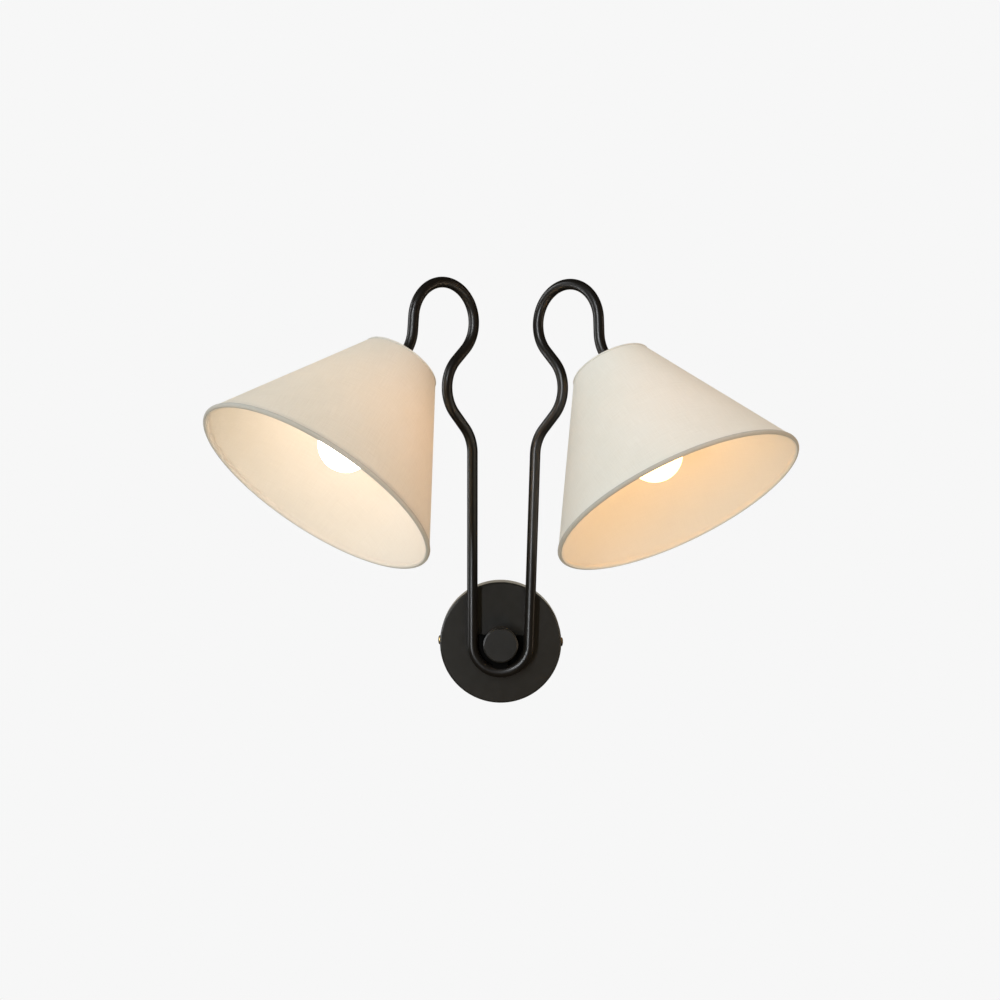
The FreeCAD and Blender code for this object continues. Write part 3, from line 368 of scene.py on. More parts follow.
finishes = {
    "tubeBlack": coatedFinish("tubeBlack", {
        "dark": (0.0070, 0.0056, 0.0040), "light": (0.0120, 0.0098, 0.0072), "toneScale": 30,
        "roughness": (0.32, 0.36), "glossScale": 60, "peelScale": 500, "peelDepth": 0.000002,
        "specular": 1.0}),
    "canopyBlack": coatedFinish("canopyBlack", {
        "dark": (0.0155, 0.0146, 0.0125), "light": (0.0225, 0.0212, 0.0182), "toneScale": 22,
        "roughness": (0.29, 0.36), "glossScale": 120, "peelScale": 1700, "peelDepth": 0.00001,
        "specular": 0.55}),
    "knobBlack": coatedFinish("knobBlack", {
        "dark": (0.0110, 0.0105, 0.0090), "light": (0.0150, 0.0143, 0.0124), "toneScale": 60,
        "roughness": (0.33, 0.37), "glossScale": 160, "peelScale": 900, "peelDepth": 0.000004,
        "specular": 0.8}),
    # painted shade: the saddle's near-black, barely glossy coat stands for the shadow that falls between
    # the knob and the tube
    "saddlePaintedShade": coatedFinish("saddlePaintedShade", {
        "dark": (0.0008, 0.0008, 0.0007), "light": (0.0018, 0.0017, 0.0015), "toneScale": 60,
        "roughness": (0.52, 0.62), "glossScale": 200, "peelScale": 1500, "peelDepth": 0.000008,
        "specular": 0.06}),
    "brass": metalFinish("brass", {
        "bright": (0.80, 0.58, 0.25), "dull": (0.62, 0.42, 0.17), "tarnishScale": 240,
        "lineStretch": (1, 14, 14), "lineScale": 160, "lineDepth": 0.00003, "roughness": (0.38, 0.52)}),
    "zincSteel": metalFinish("zincSteel", {
        "bright": (0.66, 0.67, 0.68), "dull": (0.47, 0.48, 0.47), "tarnishScale": 130,
        "lineStretch": (1, 12, 18), "lineScale": 90, "lineDepth": 0.00003, "roughness": (0.30, 0.50)}),
    "nickelShell": metalFinish("nickelShell", {
        "bright": (0.70, 0.68, 0.63), "dull": (0.55, 0.52, 0.46), "tarnishScale": 200,
        "lineStretch": (9, 9, 1), "lineScale": 140, "lineDepth": 0.00002, "roughness": (0.22, 0.36)}),
    "swivelBlack": coatedFinish("swivelBlack", {
        "dark": (0.010, 0.009, 0.008), "light": (0.018, 0.016, 0.014), "toneScale": 120,
        "roughness": (0.30, 0.45), "glossScale": 300, "peelScale": 1800, "peelDepth": 0.00004,
        "specular": 0.5}),
    "fibreWasher": coatedFinish("fibreWasher", {
        "dark": (0.020, 0.017, 0.014), "light": (0.045, 0.038, 0.030), "toneScale": 500,
        "roughness": (0.75, 0.92), "glossScale": 600, "peelScale": 900, "peelDepth": 0.00012,
        "specular": 0.3}),
    "leadSheath": coatedFinish("leadSheath", {
        "dark": (0.012, 0.012, 0.012), "light": (0.025, 0.025, 0.025), "toneScale": 90,
        "roughness": (0.42, 0.58), "glossScale": 400, "peelScale": 1200, "peelDepth": 0.00005}),
    "connectorOrange": coatedFinish("connectorOrange", {
        "dark": (0.60, 0.17, 0.025), "light": (0.72, 0.23, 0.04), "toneScale": 130,
        "roughness": (0.34, 0.46), "glossScale": 300, "peelScale": 900, "peelDepth": 0.00004}),
    "earthGreen": coatedFinish("earthGreen", {
        "dark": (0.015, 0.16, 0.05), "light": (0.03, 0.24, 0.08), "toneScale": 200,
        "roughness": (0.30, 0.42), "glossScale": 400, "peelScale": 1500, "peelDepth": 0.00003}),
    "holderWhite": coatedFinish("holderWhite", {
        "dark": (0.70, 0.67, 0.60), "light": (0.78, 0.75, 0.69), "toneScale": 70,
        "roughness": (0.32, 0.44), "glossScale": 220, "peelScale": 700, "peelDepth": 0.00003}),
    "glazedCeramic": coatedFinish("glazedCeramic", {
        "dark": (0.74, 0.71, 0.64), "light": (0.82, 0.80, 0.75), "toneScale": 180,
        "roughness": (0.14, 0.26), "glossScale": 300, "peelScale": 420, "peelDepth": 0.00005, "coat": 0.5}),
    "whiteWire": coatedFinish("whiteWire", {
        "dark": (0.66, 0.64, 0.58), "light": (0.76, 0.74, 0.69), "toneScale": 150,
        "roughness": (0.36, 0.50), "glossScale": 300, "peelScale": 1300, "peelDepth": 0.00004}),
}
linenLook = {
    "colour": (0.90, 0.88, 0.81), "shade": (0.80, 0.775, 0.70), "cloud": (0.93, 0.915, 0.87),
    "cloudScale": 14, "cloudShare": 0.35, "slubLong": 45, "slubAcross": 1500, "pitch": 0.00062,
    "paintedPitShadeShare": 0.35, "threadShare": 0.6, "depth": 0.00022, "roughness": 0.86, "specular": 0.25,
    "sheen": 0.12, "sheenRoughness": 0.5, "through": (0.95, 0.82, 0.64), "throughShade": (0.82, 0.68, 0.50),
}
linerLook = {
    **linenLook, "colour": (0.92, 0.89, 0.83), "shade": (0.88, 0.85, 0.79), "paintedPitShadeShare": 0.12,
    "depth": 0.00009, "roughness": 0.62, "sheen": 0.0,
}
# painted shade: the bottom hem's roll gets a darker colour than the linen it is cut from, for its underside
# turned away from the light
hemPaintedShadeLook = {
    **linenLook, "colour": (0.58, 0.555, 0.50), "shade": (0.46, 0.435, 0.39), "cloud": (0.64, 0.615, 0.56),
    "slubAcross": 1900, "pitch": 0.00050, "depth": 0.00026, "throughShare": 0.06,
}
hemInsideLook = {**linerLook, "pitch": 0.00050, "depth": 0.00014}
# the top hem takes the hem's weave but keeps colours near the linen's own, without that painted shade
topHemLook = {
    **hemPaintedShadeLook, "colour": (0.80, 0.775, 0.71), "shade": (0.71, 0.685, 0.62), "cloud": (0.84, 0.82, 0.76),
}
# each shade's own linen, lining and inner hem follow with the shade
# the bottom hem wears the painted shade
finishes["bottomHem"] = linenFinish("bottomHem", hemPaintedShadeLook)
finishes["topHem"] = linenFinish("topHem", topHemLook)
print("finishes made:", len(finishes))


weldGap = 2e-6  # corners nearer than this, in metres, become one


def finishMesh(name, bm, materials, crease=38):
    bmesh.ops.remove_doubles(bm, verts=bm.verts, dist=weldGap)
    bmesh.ops.recalc_face_normals(bm, faces=bm.faces)
    mesh = bpy.data.meshes.new(name)
    bm.to_mesh(mesh)
    bm.free()
    for material in materials:
        mesh.materials.append(finishes[material])
    mesh.polygons.foreach_set("use_smooth", [True] * len(mesh.polygons))
    mesh.set_sharp_from_angle(angle=math.radians(crease))
    piece = bpy.data.objects.new(name, mesh)
    scene.collection.objects.link(piece)
    return piece


def spin(bm, place, profile, steps, shape=None, closed=True):
    # turns (radius, height) corners about the place's own Z; shape(angle, index, radius, height) may
    # change a corner; the uv is the real length round and along, in metres
    layer = bm.loops.layers.uv.verify()
    lengths = [0.0]
    for (r0, h0), (r1, h1) in zip(profile, profile[1:] + profile[:1]):
        lengths.append(lengths[-1] + math.hypot(r1 - r0, h1 - h0))
    middle = sum(r for r, h in profile) / len(profile)
    rings = []
    for step in range(steps):
        angle = 2 * math.pi * step / steps
        ring = []
        for index, (radius, height) in enumerate(profile):
            if shape:
                radius, height = shape(angle, index, radius, height)
            corner = Vector((radius * math.cos(angle), radius * math.sin(angle), height))
            ring.append(bm.verts.new(place @ corner))
        rings.append(ring)
    faces = []
    for step in range(steps):
        here, there = rings[step], rings[(step + 1) % steps]
        for index in range(len(profile) if closed else len(profile) - 1):
            after = (index + 1) % len(profile)
            face = bm.faces.new((here[index], here[after], there[after], there[index]))
            around = [2 * math.pi * middle * (step + far) / steps for far in (0, 0, 1, 1)]
            upward = [lengths[index], lengths[index + 1], lengths[index + 1], lengths[index]]
            for loop, u, v in zip(face.loops, around, upward):
                loop[layer].uv = (u, v)
            faces.append(face)
    return faces


def rounded(corners, radius, steps):
    # a closed outline with every corner rounded off
    most = 0.45  # of a side's length may be cut at each of its ends
    made = []
    count = len(corners)
    for index, corner in enumerate(corners):
        here = Vector(corner)
        before, after = Vector(corners[index - 1]), Vector(corners[(index + 1) % count])
        cutBack = min(radius, (before - here).length * most, (after - here).length * most)
        start = here + (before - here).normalized() * cutBack
        end = here + (after - here).normalized() * cutBack
        for step in range(steps + 1):
            share = step / steps
            point = start * (1 - share) ** 2 + here * 2 * share * (1 - share) + end * share ** 2
            made.append((point.x, point.y))
    return made


def carve(piece, cutter):
    # takes the cutter's shape out of the piece
    tool = piece.modifiers.new("carve", "BOOLEAN")
    tool.operation = "DIFFERENCE"
    tool.solver = "EXACT"
    tool.object = cutter
    bpy.context.view_layer.update()
    evaluated = piece.evaluated_get(bpy.context.evaluated_depsgraph_get())
    carved = bpy.data.meshes.new_from_object(evaluated)
    piece.modifiers.clear()
    piece.data = carved
    bpy.data.objects.remove(cutter)


# where each head hangs: pivot, way down its axis, tilt axis, its bulb's light, and the share of that
# light that passes the cloth
heads = {
    "left": {"pivot": (-0.103481, -0.095767, 0.267897), "down": (-0.472815, -0.418288, -0.775552),
             "tilt": (-0.653388, 0.756958, -0.009922),
             "glow": (1.0, 0.845, 0.72), "power": 6.9, "through": 0.32},
    "right": {"pivot": (0.103481, -0.095767, 0.267897), "down": (0.398763, -0.396682, -0.82682),
              "tilt": (-0.916767, -0.194989, -0.348594),
              "glow": (1.0, 0.54, 0.19), "power": 6.0, "through": 0.12},
}


def headPlace(head):
    # the head's own frame: pivot at zero, Z back up the shade's axis, Y along the tilt axis
    up = -Vector(head["down"]).normalized()
    across = Vector(head["tilt"]).normalized()
    side = across.cross(up).normalized()
    turn = Matrix((side, up.cross(side), up)).transposed().to_4x4()
    return Matrix.Translation(head["pivot"]) @ turn


# linen cone and its two rolled hems
shade = {
    "topRadius": 39.0 * mm, "bottomRadius": 120.0 * mm,
    "top": 7.0 * mm, "bottom": -143.0 * mm,
    "cloth": 0.8 * mm, "shortBy": 0.4 * mm,  # the cloth ends a little before each rim
    "rows": 34, "steps": 288,
    "seamWidth": 9 * mm, "seamStep": 0.32 * mm, "seamEdge": 0.8 * mm,
    "sag": 0.14 * mm, "sagRound": 1.7, "sagAlong": 14,  # the cloth is never quite a true cone
    "ring": 1.8 * mm, "tape": 0.42 * mm, "edgeThin": 0.45,
    "rollDegrees": 205, "rollSteps": 14, "hemSteps": 300,
    "bottomTail": 5.0 * mm, "topTail": 5.0 * mm, "lip": 0.9 * mm,
    # how the strip leaves the wire and settles inside: half tapes off the cloth, rolls along it
    "tuck": [(2.2, 1.25), (1.3, 1.6)],
    "unevenRound": 9, "unevenUp": 40,
    "frayed": 0.35 * mm, "frayScale": 2.2, "swell": 0.07 * mm, "swellScale": 3.1,
    "insideFrom": 12,  # corner of the hem's outline where its inner side begins
}


def coneRadius(height):
    share = (height - shade["bottom"]) / (shade["top"] - shade["bottom"])
    return shade["bottomRadius"] + (shade["topRadius"] - shade["bottomRadius"]) * share


def slant():
    return math.hypot(shade["bottomRadius"] - shade["topRadius"], shade["top"] - shade["bottom"])


def apexDistance(radius):
    return radius * slant() / (shade["bottomRadius"] - shade["topRadius"])


def makeLinen(word, place, seamAngle):
    through = heads[word]["through"]
    linen, liner, hemInside = f"{word}Linen", f"{word}Liner", f"{word}HemInside"
    finishes[linen] = linenFinish(linen, {**linenLook, "throughShare": through})
    finishes[liner] = linenFinish(liner, {**linerLook, "throughShare": through})
    finishes[hemInside] = linenFinish(hemInside, {**hemInsideLook, "throughShare": through})
    bm = bmesh.new()
    layer = bm.loops.layers.uv.verify()
    rows, steps = shade["rows"], shade["steps"]
    low, high = shade["bottom"] + shade["shortBy"], shade["top"] - shade["shortBy"]
    turnRate = shade["bottomRadius"] / apexDistance(shade["bottomRadius"])
    sagRound, sagAlong = shade["sagRound"], shade["sagAlong"]
    outside, inside = [], []
    for step in range(steps):
        angle = seamAngle + 2 * math.pi * step / steps
        face = Vector((math.cos(angle), math.sin(angle), 0))
        sideways = (step / steps) * 2 * math.pi
        outerLine, innerLine = [], []
        for row in range(rows + 1):
            height = low + (high - low) * row / rows
            radius, rise = coneRadius(height), Vector((0, 0, height))
            calm = math.sin(math.pi * row / rows)
            seed = Vector((face.x * sagRound, face.y * sagRound, height * sagAlong + len(word)))
            wave = noise.noise(seed) * shade["sag"] * calm
            fromSeam = sideways * radius
            over = (shade["seamWidth"] - fromSeam) / shade["seamEdge"]
            lap = shade["seamStep"] * max(0.0, min(1.0, over))
            outerLine.append(bm.verts.new(place @ (face * (radius + wave + lap) + rise)))
            innerLine.append(bm.verts.new(place @ (face * (radius + wave - shade["cloth"]) + rise)))
        outside.append(outerLine)
        inside.append(innerLine)

    def lay(corners, spots, slotNumber):
        # the uv is the corner's place in the flat cut
        made = bm.faces.new(corners)
        made.material_index = slotNumber
        for loop, (step, row) in zip(made.loops, spots):
            reach = apexDistance(coneRadius(low + (high - low) * row / rows))
            swing = 2 * math.pi * step / steps * turnRate
            loop[layer].uv = (reach * math.cos(swing), reach * math.sin(swing))

    for step in range(steps):
        after = (step + 1) % steps
        for row in range(rows):
            spots = [(step, row), (step, row + 1), (step + 1, row + 1), (step + 1, row)]
            for slotNumber, side in enumerate((outside, inside)):
                here, there = side[step], side[after]
                lay([here[row], here[row + 1], there[row + 1], there[row]], spots, slotNumber)
        for row in (0, rows):
            spots = [(step, row), (step, row), (step + 1, row), (step + 1, row)]
            lay([outside[step][row], inside[step][row], inside[after][row], outside[after][row]], spots, 0)
    cone = finishMesh(f"{word}_shade_linen", bm, [linen, liner], crease=60)
    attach(cone, f"{word}_head")
    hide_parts(f"{word}_shade_cloth")
    return cone


def hemProfile(ringRadius, ringHeight, tail, upward):
    # a strip of cloth that starts on the cone's outside, rolls round the wire ring and ends on its inside
    slope = Vector((shade["topRadius"] - shade["bottomRadius"], shade["top"] - shade["bottom"]))
    slope.normalize()
    along = slope * upward  # away from the rim, over the cone
    outward = Vector((slope.y, -slope.x))
    centre = Vector((ringRadius, ringHeight))
    roll = shade["ring"] + shade["tape"] / 2
    face = (Vector((coneRadius(ringHeight), ringHeight)) - centre).dot(outward)
    inner = face - shade["cloth"] * outward.x
    half = shade["tape"] / 2
    line = [centre + outward * (face + half) + along * shade["lip"],
            centre + outward * (face + half * 1.4) + along * shade["lip"] * 0.6]
    for step in range(shade["rollSteps"] + 1):
        turn = math.radians(shade["rollDegrees"] * step / shade["rollSteps"])
        line.append(centre + outward * math.cos(turn) * roll - along * math.sin(turn) * roll)
    line += [centre + outward * (inner - half * off) + along * (roll * far) for off, far in shade["tuck"]]
    line += [centre + outward * (inner - half) + along * far for far in (tail * 0.6, tail)]
    sides = [[], []]
    for index, point in enumerate(line):
        ahead = (line[min(index + 1, len(line) - 1)] - line[max(index - 1, 0)]).normalized()
        across = Vector((ahead.y, -ahead.x)) * half
        thin = shade["edgeThin"] if index in (0, len(line) - 1) else 1.0
        sides[0].append(point + across * thin)
        sides[1].append(point - across * thin)
    return [(p.x, p.y) for p in sides[0] + sides[1][::-1]], len(line)


def makeHem(word, place, rim, ringRadius, ringHeight, tail, upward):
    profile, count = hemProfile(ringRadius, ringHeight, tail, upward)
    slope = (shade["topRadius"] - shade["bottomRadius"]) / (shade["top"] - shade["bottom"])

    def pulled(angle, index, radius, height):
        # the strip's glued edge inside wanders a little, and the roll is a little uneven
        size = shade["unevenRound"]
        seed = Vector((math.cos(angle) * size, math.sin(angle) * size,
                       ringHeight * shade["unevenUp"] + len(word)))
        if index in (count - 1, count):
            slip = noise.noise(seed * shade["frayScale"]) * shade["frayed"] * upward
            return radius + slip * slope, height + slip
        return radius + noise.noise(seed * shade["swellScale"]) * shade["swell"], height

    bm = bmesh.new()
    for number, face in enumerate(spin(bm, place, profile, shade["hemSteps"], pulled)):
        index = number % len(profile)
        if min(index, len(profile) - 1 - index) >= shade["insideFrom"]:
            face.material_index = 1  # the edge glued inside keeps the lining's warmer white
    # the bottom rim's hem finish carries painted shade
    hem = finishMesh(f"{word}_shade_{rim}_hem", bm, [f"{rim}Hem", f"{word}HemInside"], crease=50)
    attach(hem, f"{word}_head")
    return hem


def makeShade(word, place):
    # the seam is turned to the wall
    wallward = place.to_3x3().inverted() @ Vector((0, 1, 0))
    linen = makeLinen(word, place, math.atan2(wallward.y, wallward.x))
    lowRing, highRing = shade["bottomRadius"] - shade["ring"], shade["topRadius"] - shade["ring"]
    bottom = makeHem(word, place, "bottom", lowRing, shade["bottom"], shade["bottomTail"], 1)
    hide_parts(f"{word}_shade_bottom_ring")
    top = makeHem(word, place, "top", highRing, shade["top"], shade["topTail"], -1)


# bulb: opal globe and threaded base
bulb = {
    "centre": -90.2 * mm, "radius": 26 * mm, "neckRadius": 12.4 * mm, "fillet": 7 * mm,
    "neckTop": 33.5 * mm, "globeSteps": 44, "filletSteps": 8, "steps": 96,
    "baseTop": -39.3 * mm, "baseBottom": -64.2 * mm, "baseRadius": 13.1 * mm, "baseSteps": 72,
    "baseChamfer": 0.5 * mm, "shoulder": 5 * mm, "shoulderIn": 1.2 * mm, "shoulderRise": 1.6 * mm,
    "contactRadius": 4.0 * mm,
    "threadPitch": 3.63 * mm, "threadDepth": 0.75 * mm, "threadRows": 60,
    "flowScale": 60, "colour": (0.95, 0.93, 0.89), "shade": (0.88, 0.85, 0.79),
    "roughness": (0.18, 0.30), "depth": 0.00003, "flowGlow": 0.93,
}


def makeBulb(word, place, head):
    glass = f"{word}OpalGlass"
    glowShade = tuple(c * bulb["flowGlow"] for c in head["glow"])
    finishes[glass] = opalFinish(glass, {
        **bulb, "glow": head["glow"], "glowShade": glowShade, "strength": head["power"]})
    centre, globeRadius = bulb["centre"], bulb["radius"]
    reach = globeRadius + bulb["fillet"]
    sideways = bulb["neckRadius"] + bulb["fillet"]
    upwards = math.sqrt(reach ** 2 - sideways ** 2)
    meet = math.atan2(sideways, -upwards)  # where the globe flows into the neck, from its lowest point
    profile = []
    for step in range(bulb["globeSteps"] + 1):
        angle = meet * step / bulb["globeSteps"]
        profile.append((globeRadius * math.sin(angle), centre - globeRadius * math.cos(angle)))
    for step in range(1, bulb["filletSteps"] + 1):
        angle = math.atan2(upwards, sideways) * (1 - step / bulb["filletSteps"])
        profile.append((sideways - bulb["fillet"] * math.cos(angle),
                        centre + upwards - bulb["fillet"] * math.sin(angle)))
    profile += [(bulb["neckRadius"], centre + bulb["neckTop"]), (0.0, centre + bulb["neckTop"])]
    bm = bmesh.new()
    spin(bm, place, profile, bulb["steps"], closed=False)
    globe = finishMesh(f"{word}_opal_globe", bm, [glass], crease=50)
    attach(globe, f"{word}_head")
    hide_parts(f"{word}_bulb_globe")

    top, bottom, radius = bulb["baseTop"], bulb["baseBottom"], bulb["baseRadius"]
    threadEnd = top - bulb["shoulder"]
    profile = [(radius - bulb["baseChamfer"], bottom)]
    rows = bulb["threadRows"]
    for row in range(rows + 1):
        profile.append((radius, bottom + (threadEnd - bottom) * row / rows))
    contact, stepIn = bulb["contactRadius"], bulb["shoulderIn"]
    profile += [(radius - stepIn, threadEnd + bulb["shoulderRise"]), (contact + stepIn, top - stepIn),
                (contact, top), (0, top)]

    def thread(angle, index, radius, height):
        if 3 < index < rows - 2:
            turn = 2 * math.pi * height / bulb["threadPitch"] - angle
            radius -= bulb["threadDepth"] * (0.5 - 0.5 * math.cos(turn))
        return radius, height

    bm = bmesh.new()
    spin(bm, place, profile, bulb["baseSteps"], thread, closed=False)
    base = finishMesh(f"{word}_threaded_base", bm, ["nickelShell"], crease=60)
    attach(base, f"{word}_head")
    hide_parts(f"{word}_bulb_base")


# lampholder body and the ribbed ring that clamps the shade
holder = {
    "top": -31 * mm, "bottom": -62 * mm, "shoulder": -49.5 * mm, "shoulderThickness": 2.5 * mm,
    "radius": 17 * mm, "inner": 14.6 * mm, "skirtRadius": 16.4 * mm, "shoulderRadius": 19 * mm,
    "skirtPitch": 2.4 * mm, "skirtDepth": 0.6 * mm, "skirtRows": 48, "steps": 96,
    "chamfer": 0.5 * mm, "soft": 0.3 * mm, "clear": 0.1 * mm,
    "capSeat": 0.4 * mm, "capSeatHeight": 1.2 * mm,  # where the cap closes over the body
    "nutTop": -51.2 * mm, "nutBottom": -56.2 * mm, "nutRadius": 20.5 * mm, "nutBore": 16.5 * mm,
    "nutEdge": 0.6 * mm, "nutRounding": 0.25 * mm, "grips": 36, "gripDepth": 0.7 * mm, "gripSteps": 10,
}


def makeHolder(word, place):
    top, bottom, shoulder = holder["top"], holder["bottom"], holder["shoulder"]
    lip = shoulder + holder["shoulderThickness"]
    skirt, wide, radius, inner = (holder[k] for k in ("skirtRadius", "shoulderRadius", "radius", "inner"))
    chamfer, soft, seat, clear = (holder[k] for k in ("chamfer", "soft", "capSeat", "clear"))
    rows, seatLow = holder["skirtRows"], top - holder["capSeatHeight"]
    profile = [(inner, bottom), (skirt - chamfer, bottom)]
    first = len(profile)
    for row in range(rows + 1):
        profile.append((skirt, bottom + chamfer + (shoulder - bottom - chamfer - clear) * row / rows))
    last = len(profile) - 1
    profile += [
        (skirt, shoulder), (wide - soft, shoulder), (wide, shoulder + soft), (wide, lip - chamfer),
        (wide - chamfer, lip), (radius + soft, lip), (radius, lip + seat), (radius, seatLow - seat),
        (radius - seat, seatLow), (radius - seat, top - clear), (inner, top - clear),
    ]

    def thread(angle, index, radius, height):
        if first + 2 < index < last - 2:
            turn = 2 * math.pi * height / holder["skirtPitch"] - angle
            radius -= holder["skirtDepth"] * (0.5 - 0.5 * math.cos(turn))
        return radius, height

    bm = bmesh.new()
    spin(bm, place, profile, holder["steps"], thread)
    body = finishMesh(f"{word}_holder_body", bm, ["holderWhite"], crease=55)
    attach(body, f"{word}_head")
    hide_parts(f"{word}_lampholder_body")

    bore, wide, low, high = (holder[k] for k in ("nutBore", "nutRadius", "nutBottom", "nutTop"))
    edge = holder["nutEdge"]
    profile = rounded([
        (bore, low), (wide - 1.5 * mm, low), (wide, low + 1.1 * mm), (wide, high - edge),
        (wide - edge, high), (bore, high)], holder["nutRounding"], steps=2)

    def grip(angle, index, radius, height):
        if radius > wide - chamfer:
            ridge = abs(math.sin(angle * holder["grips"] / 2)) ** 0.6
            radius -= holder["gripDepth"] * (1 - ridge)
        return radius, height

    bm = bmesh.new()
    spin(bm, place, profile, holder["grips"] * holder["gripSteps"], grip)
    nut = finishMesh(f"{word}_ribbed_ring", bm, ["holderWhite"], crease=50)
    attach(nut, f"{word}_head")
    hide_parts(f"{word}_shade_ring_nut")


for word, head in heads.items():
    place = headPlace(head)
    makeShade(word, place)
    makeBulb(word, place, head)
    makeHolder(word, place)
    print(word, "head dressed")


# bent tube: a hollow pipe along its middle line, in the three lengths that the frame has
tube = {
    "radius": 5.25 * mm, "wall": 1.0 * mm, "forward": 34.3 * mm,
    "hubBend": 28.2 * mm, "lean": 0.87, "legHeight": 190 * mm,
    "armTurn": 40.8,  # degrees from the wall plane to each arm's own plane
    "bend": 37.4 * mm,
    "arm": [("turn", 42.4), ("run", 18.7 * mm), ("turn", -88.1), ("run", 15.8 * mm), ("turn", 220.9),
            ("run", 14 * mm), ("turn", -28), ("run", 14 * mm)],
    "leadHole": 2.4 * mm, "holeSides": 32,
    "round": 64, "ringDegrees": 3,
}


def bentLine(point, heading, normal, steps, radius):
    # places along straight runs and tangent bends in one plane, each with the way ahead
    line = [(point, heading)]
    for kind, amount in steps:
        if kind == "run":
            line.append((line[-1][0] + line[-1][1] * amount, line[-1][1]))
            continue
        start, ahead = line[-1]
        centre = start + normal.cross(ahead) * math.copysign(radius, amount)
        count = math.ceil(abs(amount) / tube["ringDegrees"])
        for step in range(1, count + 1):
            turn = Matrix.Rotation(math.radians(amount * step / count), 3, normal)
            line.append((centre + turn @ (start - centre), turn @ ahead))
    return line


def makePipe(name, line, normal):
    bm = bmesh.new()
    layer = bm.loops.layers.uv.verify()
    count = tube["round"]
    angles = [2 * math.pi * step / count for step in range(count)]
    along = [0.0]
    for here, there in zip(line, line[1:]):
        along.append(along[-1] + (there[0] - here[0]).length)

    def rings(radius):
        made = []
        for point, ahead in line:
            side = normal.cross(ahead)
            spokes = [side * math.cos(angle) + normal * math.sin(angle) for angle in angles]
            made.append([bm.verts.new(point + spoke * radius) for spoke in spokes])
        return made

    def join(first, second, low, high):
        for step in range(count):
            after = (step + 1) % count
            face = bm.faces.new((first[step], first[after], second[after], second[step]))
            spots = ((step, low), (step + 1, low), (step + 1, high), (step, high))
            for loop, (u, v) in zip(face.loops, spots):
                loop[layer].uv = (u * 2 * math.pi * tube["radius"] / count, v)

    outer, inner = rings(tube["radius"]), rings(tube["radius"] - tube["wall"])
    for index in range(len(line) - 1):
        join(outer[index], outer[index + 1], along[index], along[index + 1])
        join(inner[index], inner[index + 1], along[index], along[index + 1])
    for end in (0, -1):
        join(outer[end], inner[end], along[end], along[end] + tube["wall"])
    return finishMesh(name, bm, ["tubeBlack"], crease=40)


def makeTubes():
    lean, turn = math.radians(tube["lean"]), math.radians(tube["armTurn"])
    legs, tops = {}, {}
    for side in (-1, 1):
        legs[side] = Vector((side * math.sin(lean), 0, math.cos(lean)))
        foot = Vector((side * tube["hubBend"] / math.cos(lean), -tube["forward"], 0))
        tops[side] = foot + legs[side] * tube["legHeight"]
    leg = ("run", tube["legHeight"] + tube["hubBend"] * math.tan(lean))
    toRoom = Vector((0, -1, 0))
    hubTurn = ("turn", 180 - 2 * tube["lean"])
    line = bentLine(tops[-1], -legs[-1], toRoom, [leg, hubTurn, leg], tube["hubBend"])
    base = makePipe("bent_base_pipe", line, toRoom)
    bm = bmesh.new()
    bmesh.ops.create_cone(bm, segments=tube["holeSides"], radius1=tube["leadHole"],
                          radius2=tube["leadHole"], depth=tube["radius"] * 2, cap_ends=True)
    bmesh.ops.translate(bm, vec=(0, -tube["forward"], tube["radius"] - tube["hubBend"]), verts=bm.verts)
    carve(base, finishMesh("leadHoleCutter", bm, ["tubeBlack"]))
    pipes = {"base_tube": base}
    for word, side in (("left", -1), ("right", 1)):
        level = Vector((side * math.cos(turn), -math.sin(turn), 0))
        outward = (level - legs[side] * level.dot(legs[side])).normalized()
        normal = legs[side].cross(outward).normalized()
        line = bentLine(tops[side], legs[side], normal, tube["arm"], tube["bend"])
        pipes[f"{word}_arm_tube"] = makePipe(f"{word}_bent_pipe", line, normal)
    for replaced, piece in pipes.items():
        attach(piece, "arms")
        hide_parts(replaced)


makeTubes()
print("bent tube drawn")


# brass screws in the canopy's side
screw = {
    "edge": 61 * mm, "wall": 11 * mm, "reach": 8 * mm, "headRadius": 4.5 * mm, "headHeight": 2.2 * mm,
    "rim": 0.9 * mm, "rimEdge": 0.2 * mm, "domeSteps": 8, "steps": 40,
    "shankRadius": 2.0 * mm, "neck": 0.4 * mm,
    "pitch": 0.7 * mm, "threadDepth": 0.28 * mm, "threadRows": 96,
    "slotWidth": 1.1 * mm, "slotDepth": 1.1 * mm, "slotTurn": {-1: 24, 1: -38},
}


def sidePlace(side, out, wall):
    # a place at the canopy's left or right whose Z points away from its middle
    return Matrix.Translation((side * out, -wall, 0)) @ Matrix.Rotation(math.radians(90 * side), 4, "Y")


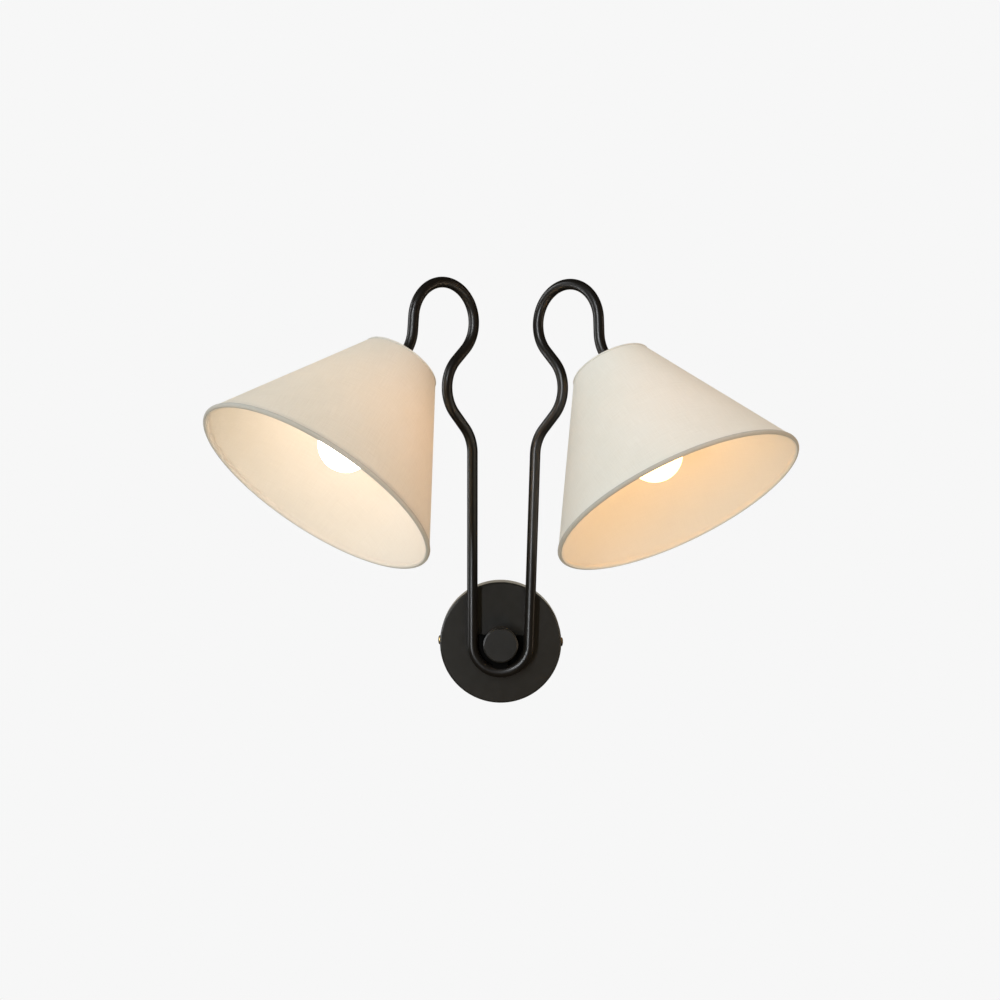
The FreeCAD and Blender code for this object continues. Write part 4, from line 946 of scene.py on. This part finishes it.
def makeScrews():
    reach, shankRadius, rows = screw["reach"], screw["shankRadius"], screw["threadRows"]
    headRadius, rim, rimEdge = screw["headRadius"], screw["rim"], screw["rimEdge"]
    for side in (-1, 1):
        slotTurn = Matrix.Rotation(math.radians(screw["slotTurn"][side]), 4, "Z")
        place = sidePlace(side, screw["edge"], screw["wall"]) @ slotTurn
        shank = [(0.0, -reach)]
        for row in range(rows + 1):
            shank.append((shankRadius, -reach + (reach - screw["neck"]) * row / rows))
        head = [(shankRadius, 0.0), (headRadius - rimEdge, 0.0), (headRadius, rimEdge), (headRadius, rim)]
        for step in range(1, screw["domeSteps"] + 1):
            angle = math.radians(90 * step / screw["domeSteps"])
            head.append((headRadius * math.cos(angle), rim + (screw["headHeight"] - rim) * math.sin(angle)))

        def thread(angle, index, radius, height):
            if 4 < index < rows - 1:
                turn = 2 * math.pi * height / screw["pitch"] - angle
                radius -= screw["threadDepth"] * (0.5 - 0.5 * math.cos(turn))
            return radius, height

        bm = bmesh.new()
        spin(bm, place, shank + head, screw["steps"], thread, closed=False)
        piece = finishMesh(f"brass_screw_{'left' if side < 0 else 'right'}", bm, ["brass"], crease=40)
        bm = bmesh.new()
        bmesh.ops.create_cube(bm, size=1.0)
        slotSize = (headRadius * 2.4, screw["slotWidth"], screw["slotDepth"] * 2)
        bmesh.ops.scale(bm, vec=slotSize, verts=bm.verts)
        bmesh.ops.translate(bm, vec=(0, 0, screw["headHeight"]), verts=bm.verts)
        bmesh.ops.transform(bm, matrix=place, verts=bm.verts)
        carve(piece, finishMesh("slotCutter", bm, ["brass"]))
        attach(piece, "canopy")
        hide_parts("side_screws")


makeScrews()


# wire connectors behind the canopy
connector = {
    "mouth": 7 * mm, "line": 12.9 * mm, "mouthRadius": 4 * mm, "tipRadius": 2.5 * mm, "length": 14 * mm,
    "mouthEdge": 0.4 * mm, "collar": 2.0 * mm, "ribsFrom": 2.4 * mm, "tip": 1.5 * mm, "taper": 0.15 * mm,
    "rows": 12, "steps": 96, "ribs": 12, "ribDepth": 0.45 * mm,
}


def makeConnectors():
    length, wide, narrow = connector["length"], connector["mouthRadius"], connector["tipRadius"]
    edge, taper, low, rows = (connector[k] for k in ("mouthEdge", "taper", "ribsFrom", "rows"))
    profile = [(wide * 0.42, edge * 1.5), (wide * 0.8, edge / 2), (wide - edge / 2, 0.0), (wide, edge),
               (wide, connector["collar"])]
    ribStart = len(profile)
    high = length - connector["tip"]
    for row in range(rows + 1):
        share = row / rows
        profile.append((wide - taper + (narrow - wide + taper) * share, low + (high - low) * share))
    profile += [(narrow * 0.9, length - 0.6 * mm), (narrow * 0.6, length - 0.12 * mm), (0.0, length)]
    for side in (-1, 1):
        place = sidePlace(side, connector["mouth"], connector["line"])

        def rib(angle, index, radius, height):
            if ribStart < index < ribStart + rows:
                radius -= connector["ribDepth"] * (0.5 + 0.5 * math.cos(angle * connector["ribs"])) ** 2
            return radius, height

        bm = bmesh.new()
        spin(bm, place, profile, connector["steps"], rib, closed=False)
        name = f"ribbed_connector_{'left' if side < 0 else 'right'}"
        cap = finishMesh(name, bm, ["connectorOrange"], crease=50)
        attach(cap, "canopy")
        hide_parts("wire_connectors")


makeConnectors()
print("screws and connectors made")


# finishes of the pieces that come straight from the frame
nodeFinishes = {
    "canopyBlack": ["canopy_pan"],
    "knobBlack": ["clamp_knob"],
    # the saddle wears the painted shade
    "saddlePaintedShade": ["arm_saddle"],
    "zincSteel": ["wall_crossbar", "hub_nipple", "nipple_nut", "lock_washer", "spring_washer"],
    "earthGreen": ["ground_screw"],
    "fibreWasher": ["friction_washer"],
    "leadSheath": ["left_arm_lead", "right_arm_lead", "hub_lead", "splice_lead"],
}
headFinishes = {
    "brass": ["end_bush", "centre_contact", "screw_shell"],
    "swivelBlack": ["swivel_yoke", "swivel_tongue", "pivot_screw", "pivot_nut"],
    "holderWhite": ["lampholder_cap"],
    "glazedCeramic": ["contact_carrier"],
    "whiteWire": ["shade_spider"],
}


def wear(finish, names):
    for name in names:
        data = nodes[name].data
        data.materials.clear()
        data.materials.append(finishes[finish])


for finish, names in nodeFinishes.items():
    wear(finish, names)
for finish, names in headFinishes.items():
    wear(finish, [f"{word}_{name}" for word in heads for name in names])
print("carried-over pieces painted")
